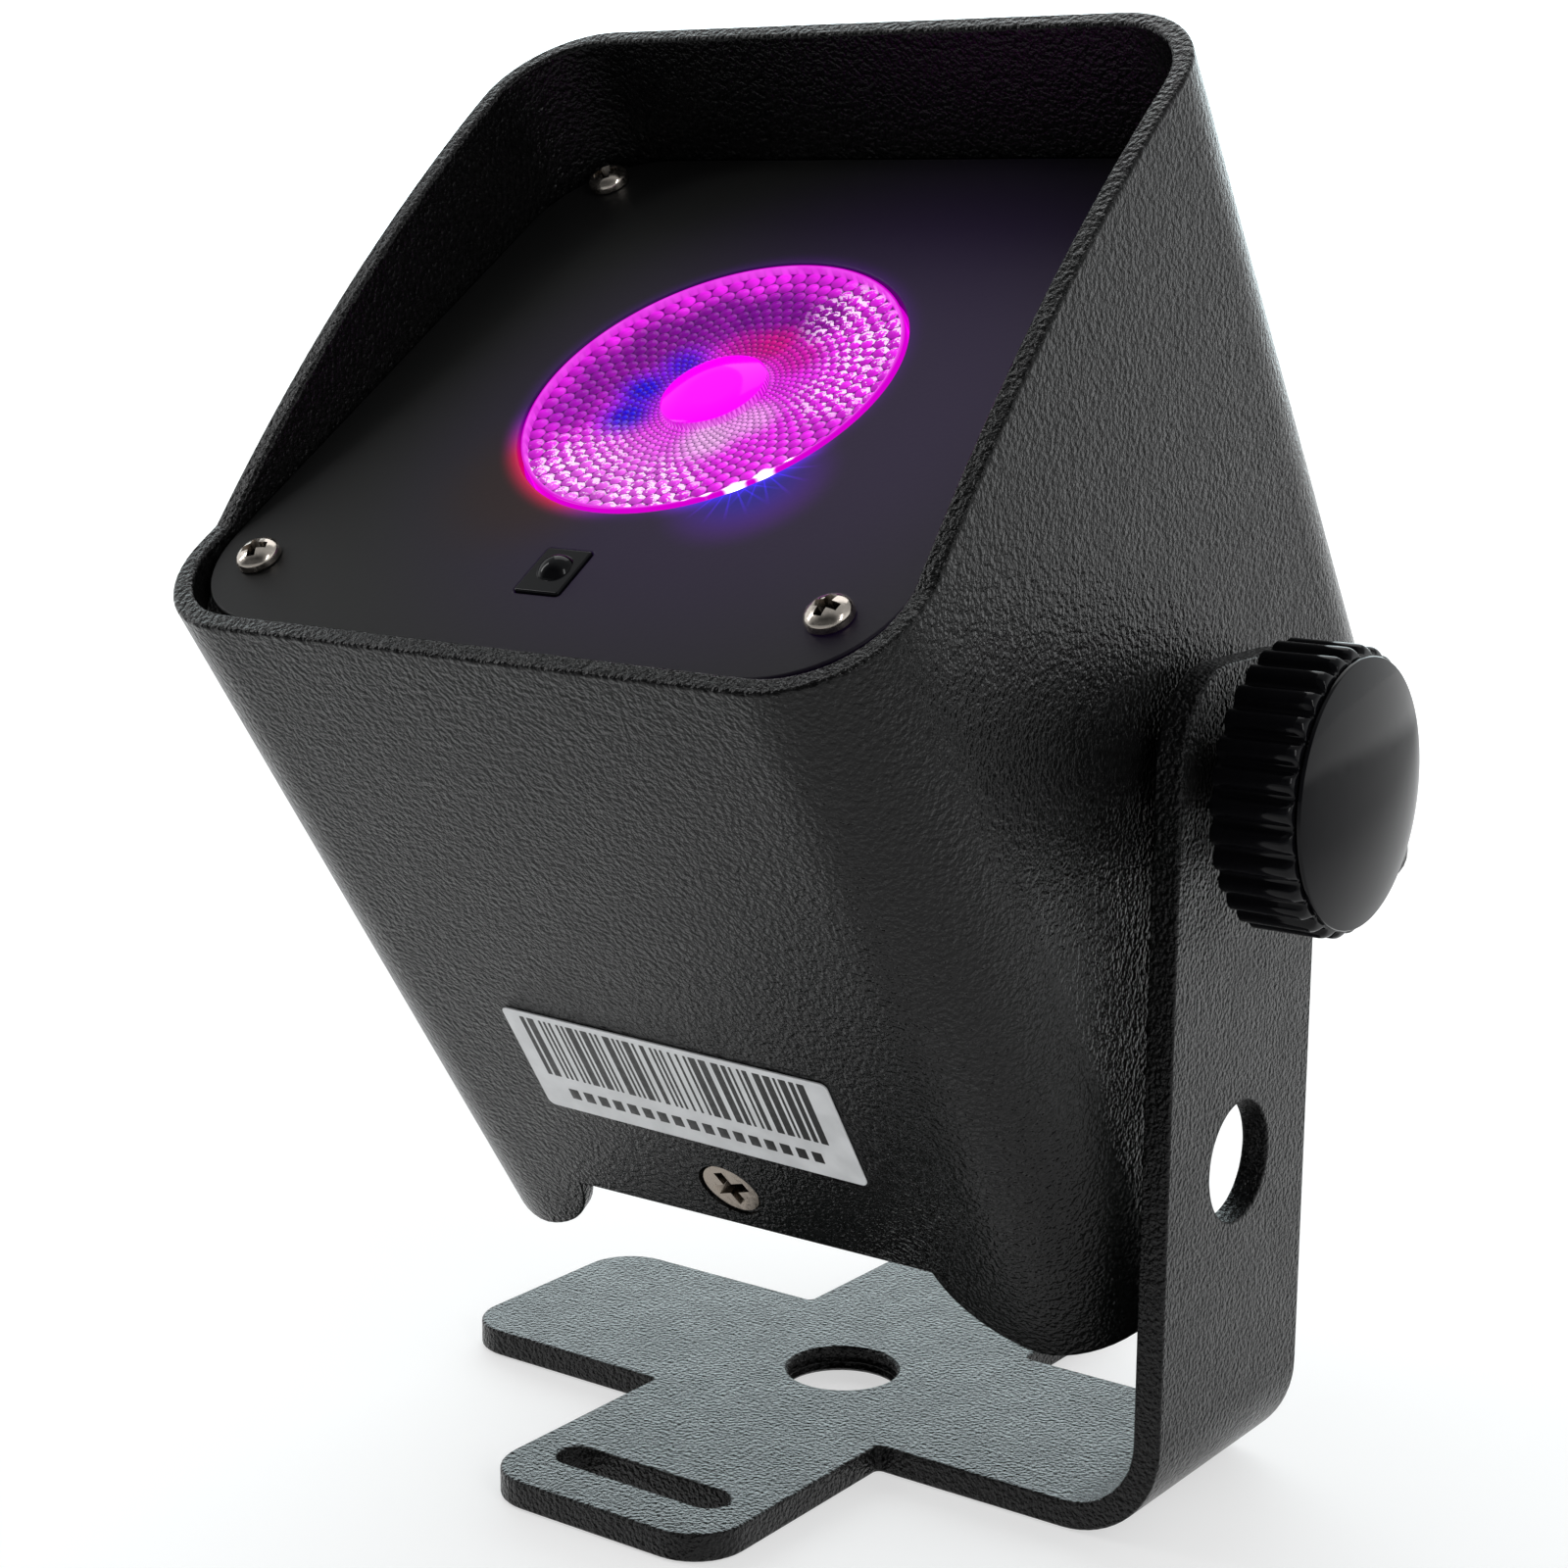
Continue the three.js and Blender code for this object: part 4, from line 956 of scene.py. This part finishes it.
def lens_shape():
    """The cone at the LED, the collar, the faceted dish and the raised disc in its middle."""
    r, top, steps = LENS_RADIUS, PLATE_TOP, PETALS * 6
    per_row = 5
    rows = int(math.log(LENS_EDGE / (LENS_DISC + 0.1)) / ROW_PITCH)
    dish = [(LENS_DISC, top - 1.6), (LENS_DISC + 6, top - 1.3), (LENS_EDGE, top - 0.6)]
    outside = [(0, 31), (4.5, 31), (4.5, 27.6), (6.5, 27.6), (r - 1, 41.5), (r + 1, 42.3), (r + 1, 43.65)]
    outside += [(r, 43.7), (r, top), (r - 0.1, top + 0.05), (r - 0.35, top + 0.05)]
    outside += [(LENS_EDGE + 0.03, top - 0.05)]
    middle = [(LENS_DISC + 0.05, top - 1.5), (LENS_DISC, top - 0.8), (LENS_DISC - 0.3, top - 0.65)]
    middle += [(2.5, top - 0.55), (0, top - 0.55)]
    rings = []

    def ring(radius, height):
        loop = circle(radius, steps=steps) if radius else [Vector((0, 0))]
        rings.append([(p.x, p.y, height) for p in loop])

    for radius, height in outside:
        ring(radius, height)
    for k in range(rows * per_row + 1):
        radius = LENS_EDGE * math.exp(-ROW_PITCH * k / per_row)
        (r0, h0), (r1, h1) = dish[0:2] if radius < dish[1][0] else dish[1:3]
        level = h0 + (h1 - h0) * (radius - r0) / (r1 - r0)
        size = 2 * math.pi * radius / PETALS
        loop = []
        for i in range(steps):
            angle = 2 * math.pi * i / steps
            height = level - size * facet_drop(angle, radius)
            loop.append((radius * math.cos(angle), radius * math.sin(angle), height))
        rings.append(loop)
    for radius, height in middle:
        ring(radius, height)
    return skin(rings)


piece("lens_dish", mesh_of("lens_dish", lens_shape()), on_lamp(LENS_U, LENS_V, 0), "lamp",
      LOOKS["lit_lens"], ["lens"], sharp=50, weighted=False)


def receiver_shape():
    """A block that fills its window and stands 0.2 mm proud of the plate, with a round dome."""
    width, depth, dome = IR_WIDTH - 0.16, IR_DEPTH - 0.16, IR_DOME + 0.2
    shoulder = PLATE_TOP + 0.2
    block = plate(rectangle(width, depth, 0.3, steps=4), [], 38.4, shoulder, 0.2)
    bottom = shoulder - 1.2
    side = swell(dome, dome, bottom, 14)
    bulb = turned([(0, bottom - 1), (dome, bottom - 1), *side, (0, bottom + dome)], 48)
    return joined(block, placed(bulb, Matrix.Translation((0, 0.35, 0))))


piece("receiver_dome", mesh_of("receiver_dome", receiver_shape()), on_lamp(IR_U, IR_V, 0), "lamp",
      LOOKS["gloss_black"], ["ir_receiver"])


# ---------------------------------------------------------------- knob


def knob_body_shape():
    """Ribs with rounded ends round a drum that is hollow behind."""
    rib_steps = 14
    steps = KNOB_RIBS * rib_steps
    end, edge = 1.1, 0.35
    rise = KNOB_RADIUS - KNOB_VALLEY
    rings = []

    def ring(height, radius, ribs=0.0):
        loop = []
        for i in range(steps):
            angle = 2 * math.pi * i / steps
            across = abs((i % rib_steps) / rib_steps - 0.5) / 0.36
            reach = radius + ribs * math.sqrt(max(0.0, 1.0 - across**2))
            loop.append((reach * math.cos(angle), reach * math.sin(angle), height))
        rings.append(loop)

    rings.append([(0, 0, 56.9)])
    ring(56.9, 4.1)
    ring(KNOB_BACK, 4.2)
    ring(KNOB_BACK, 7.8)
    ring(KNOB_BACK + 0.2, 8.0)
    ring(KNOB_BACK + 5, 8.0)
    ring(KNOB_BACK + 5, 11.8)
    ring(KNOB_BACK + 0.2, 11.8)
    ring(KNOB_BACK, 12.0)
    ring(KNOB_BACK, KNOB_VALLEY - 0.3, rise * 0.6)
    ring(KNOB_BACK + edge * 0.35, KNOB_VALLEY - 0.05, rise * 0.85)
    ring(KNOB_BACK + edge, KNOB_VALLEY, rise)
    ring(KNOB_FRONT - 0.15 - end, KNOB_VALLEY, rise)
    for k in range(1, 7):
        turn = math.pi / 2 * k / 6
        ring(KNOB_FRONT - 0.15 - end * (1 - math.sin(turn)), KNOB_VALLEY, rise * math.cos(turn))
    ring(KNOB_FRONT, KNOB_VALLEY - 1.0)
    rings.append([(0, 0, KNOB_FRONT)])
    return skin(rings)


def knob_cap_shape():
    low, rim, top = KNOB_FRONT + 0.05, KNOB_CAP, KNOB_TOP
    shoulder = low + 0.55
    start, steps = rim - 0.2, 12
    profile = [(0, low), (rim - 0.15, low), (rim, low + 0.15), (rim, shoulder - 0.15)]
    profile += [(rim - 0.06, shoulder - 0.04), (start, shoulder)]
    for k in range(1, steps + 1):
        share = 1 - k / steps
        profile.append((start * share, shoulder + (top - shoulder) * (1 - share**2) ** 0.9))
    return turned(profile, 128)


piece("knob_ribbed_body", mesh_of("knob_ribbed_body", knob_body_shape()), KNOB, "knob", LOOKS["gloss_black"],
      ["knob_body"], sharp=60, weighted=False)
piece("knob_domed_cap", mesh_of("knob_domed_cap", knob_cap_shape()), KNOB, "knob", LOOKS["gloss_black"],
      ["knob_cap"], sharp=40, weighted=False)


# ---------------------------------------------------------------- label


TO_FRONT = Matrix.Rotation(math.pi / 2, 4, "X")
LABEL_THICK = 0.2
label_seat = on_lamp(LABEL_U, -TUBE_V / 2 - 0.05, LABEL_S) @ Matrix.Rotation(math.radians(LABEL_TURN), 4, "Y")


def label_sheet():
    """A thin sheet that stands against the front wall, its face towards the front."""
    outline = rectangle(LABEL_WIDTH, LABEL_HEIGHT, 0.8, steps=4)
    return placed(plate(outline, [], 0, LABEL_THICK, 0.05), TO_FRONT)


def label_marks():
    """Generic bars over a row of plain dashes."""
    chance = random.Random(7)
    bars, at = [], -LABEL_WIDTH / 2 + 2.2
    while at < LABEL_WIDTH / 2 - 2.6:
        wide = chance.choice((0.32, 0.32, 0.6, 0.9))
        bars.append((at, at + wide, -2.2, 6.9))
        at += wide + chance.choice((0.34, 0.34, 0.66))
    pitch, wide, count = 1.95, 1.25, 17
    dashes = [(-16.4 + pitch * k, -16.4 + pitch * k + wide, -5.6, -4.0) for k in range(count)]
    made = []
    for x0, x1, z0, z1 in bars + dashes:
        outline = rectangle(x1 - x0, z1 - z0, 0.05, (x0 + x1) / 2, (z0 + z1) / 2, 1)
        made.append(placed(plate(outline, [], LABEL_THICK - 0.03, LABEL_THICK + 0.012, 0.005), TO_FRONT))
    return joined(*made)


piece("label_sheet", mesh_of("label_sheet", label_sheet()), label_seat, "lamp",
      LOOKS["label_stock"], ["label"])
piece("label_marks", mesh_of("label_marks", label_marks()), label_seat, "lamp",
      LOOKS["black_plastic"])


# ---------------------------------------------------------------- underside


def bottom_panel_shape():
    """The panel with its openings, and a flange inside the front and back walls for the flush screws."""
    play = 0.3
    holes = [
        rectangle(DISPLAY_WIDTH + 2 * play, DISPLAY_DEPTH + 2 * play, 0.6, 0, DISPLAY_V, 4),
        rectangle(SWITCH_WIDTH, SWITCH_DEPTH, 0.3, SWITCH_U, SWITCH_V, 2),
        circle(SOCKET_RADIUS + play, SOCKET_U, SOCKET_V, 48),
    ]
    holes += [circle(BUTTON_RADIUS + play, (k - 1.5) * BUTTON_PITCH, BUTTON_V, 40) for k in range(4)]
    outline = rectangle(SHEET_U, SHEET_V, PLATE_RADIUS, steps=12)
    panel = plate(outline, [hole(h) for h in holes], PANEL_LOW, PANEL_HIGH, 0.3)
    outer = TUBE_V / 2 - WALL - play
    flanges = []
    for side in (-1, 1):
        v0, v1 = sorted((side * outer, side * (outer - 1.5)))
        flanges.append(box(-20, 20, v0, v1, PANEL_LOW + 0.6, PANEL_HIGH + PANEL_FLANGE, 0.4))
    return joined(panel, *flanges)


piece("bottom_panel_sheet", mesh_of("bottom_panel_sheet", bottom_panel_shape()), LAMP, "lamp",
      LOOKS["painted_steel"], ["bottom_panel"])


# ---------------------------------------------------------------- studio and camera

# The camera of the photo, in the bracket's frame: place in millimetres, angles in degrees.
CAMERA_PLACE = Vector((176.415, -256.41, 130.911))
CAMERA_AZIMUTH, CAMERA_ELEVATION, CAMERA_ROLL = 35.839, 11.018, 0.436
CAMERA_LENS = 66.825


def make_camera():
    azimuth, elevation, roll = (math.radians(a) for a in (CAMERA_AZIMUTH, CAMERA_ELEVATION, CAMERA_ROLL))
    level = math.cos(elevation)
    back = Vector((math.sin(azimuth) * level, -math.cos(azimuth) * level, math.sin(elevation)))
    right = Vector((math.cos(azimuth), math.sin(azimuth), 0))
    up = back.cross(right)
    across = right * math.cos(roll) + up * math.sin(roll)
    turn = Matrix((across, back.cross(across), back)).transposed()
    data = bpy.data.cameras.new("camera")
    data.lens = CAMERA_LENS
    data.sensor_width = 36
    data.clip_start, data.clip_end = 0.01, 20
    made = bpy.data.objects.new("camera", data)
    made.matrix_world = BRACKET @ Matrix.Translation(CAMERA_PLACE * MM) @ turn.to_4x4()
    bpy.context.scene.collection.objects.link(made)
    bpy.context.scene.camera = made


MIDDLE = Vector((0, 0, 0.08))
TO_BACK_LEFT = (-0.59, 0.8, 0.1)
TO_RIGHT = (1.02, 0.3, 0)


def softbox(name, place, width, height, power):
    """A rectangular light aimed at the object's middle."""
    data = bpy.data.lights.new(name, "AREA")
    data.shape = "RECTANGLE"
    data.size, data.size_y, data.energy = width, height, power
    made = bpy.data.objects.new(name, data)
    made.location = place
    made.rotation_euler = (MIDDLE - Vector(place)).to_track_quat("-Z", "Y").to_euler()
    bpy.context.scene.collection.objects.link(made)


def floor_look():
    """Pale and glowing, but dimmer to the right of the object and in front, where its walls mirror it."""
    look, tree, shader = blank("floor", Roughness=0.7)
    pale = blended(tree, noise(tree, 400, 1.0), grey(0.48), grey(0.52))
    place = where(tree)
    aside = ranged(tree, dot(tree, place, TO_RIGHT), 0.1, 0.32, 1.0, 0.4)
    share = maths(tree, "MAXIMUM", aside, ranged(tree, length(tree, place), 0.45, 0.9))
    tree.links.new(blended(tree, share, grey(0.1), pale), shader.inputs["Base Color"])
    depth = node(tree, "ShaderNodeSeparateXYZ", {"Vector": place}).outputs["Y"]
    close, far = ranged(tree, depth, -0.32, -0.1, 0.05, 0.58), ranged(tree, depth, 0.0, 0.5, 0.0, 0.3)
    glowing(tree, shader, (1, 1, 1, 1), product(tree, maths(tree, "ADD", close, far), share))
    return look


def make_studio():
    mesh = bpy.data.meshes.new("floor")
    reach = 6.0
    corners = [(-reach, -reach, 0), (reach, -reach, 0), (reach, reach, 0), (-reach, reach, 0)]
    mesh.from_pydata(corners, [], [(0, 1, 2, 3)])
    floor = bpy.data.objects.new("floor", mesh)
    floor.location.z = -0.0002
    bpy.context.scene.collection.objects.link(floor)
    mesh.materials.append(floor_look())
    bpy.context.scene.world = studio_world()
    bpy.context.scene.view_settings.view_transform = "Standard"
    softbox("top_light", (-0.3, 0.5, 0.9), 0.7, 0.7, 2)
    softbox("right_light", (0.75, -0.35, 0.55), 0.12, 0.6, 1.5)
    softbox("left_light", (-0.75, -0.3, 0.6), 0.12, 0.6, 1.5)


def studio_world():
    """White all round and brightest at the back left, dimmer overhead, dark in front."""
    world = bpy.data.worlds.new("studio")
    world.use_nodes = True
    tree = world.node_tree
    way = node(tree, "ShaderNodeTexCoord").outputs["Generated"]
    parts = node(tree, "ShaderNodeSeparateXYZ", {"Vector": way})
    front = ranged(tree, parts.outputs["Y"], -0.75, -0.1, 0.1, 1.0)
    overhead = ranged(tree, parts.outputs["Z"], 0.3, 0.8, 1.0, 0.45)
    behind = ranged(tree, dot(tree, way, TO_BACK_LEFT), 0.75, 0.97)
    strength = product(tree, front, overhead, ranged(tree, behind, 0.0, 1.0, 1.1, 2.8))
    light_tint = blended(tree, behind, (0.97, 0.99, 1.0, 1), (0.84, 0.97, 1.0, 1))
    background = tree.nodes["Background"]
    tree.links.new(light_tint, background.inputs["Color"])
    tree.links.new(strength, background.inputs["Strength"])
    return world


make_camera()
make_studio()
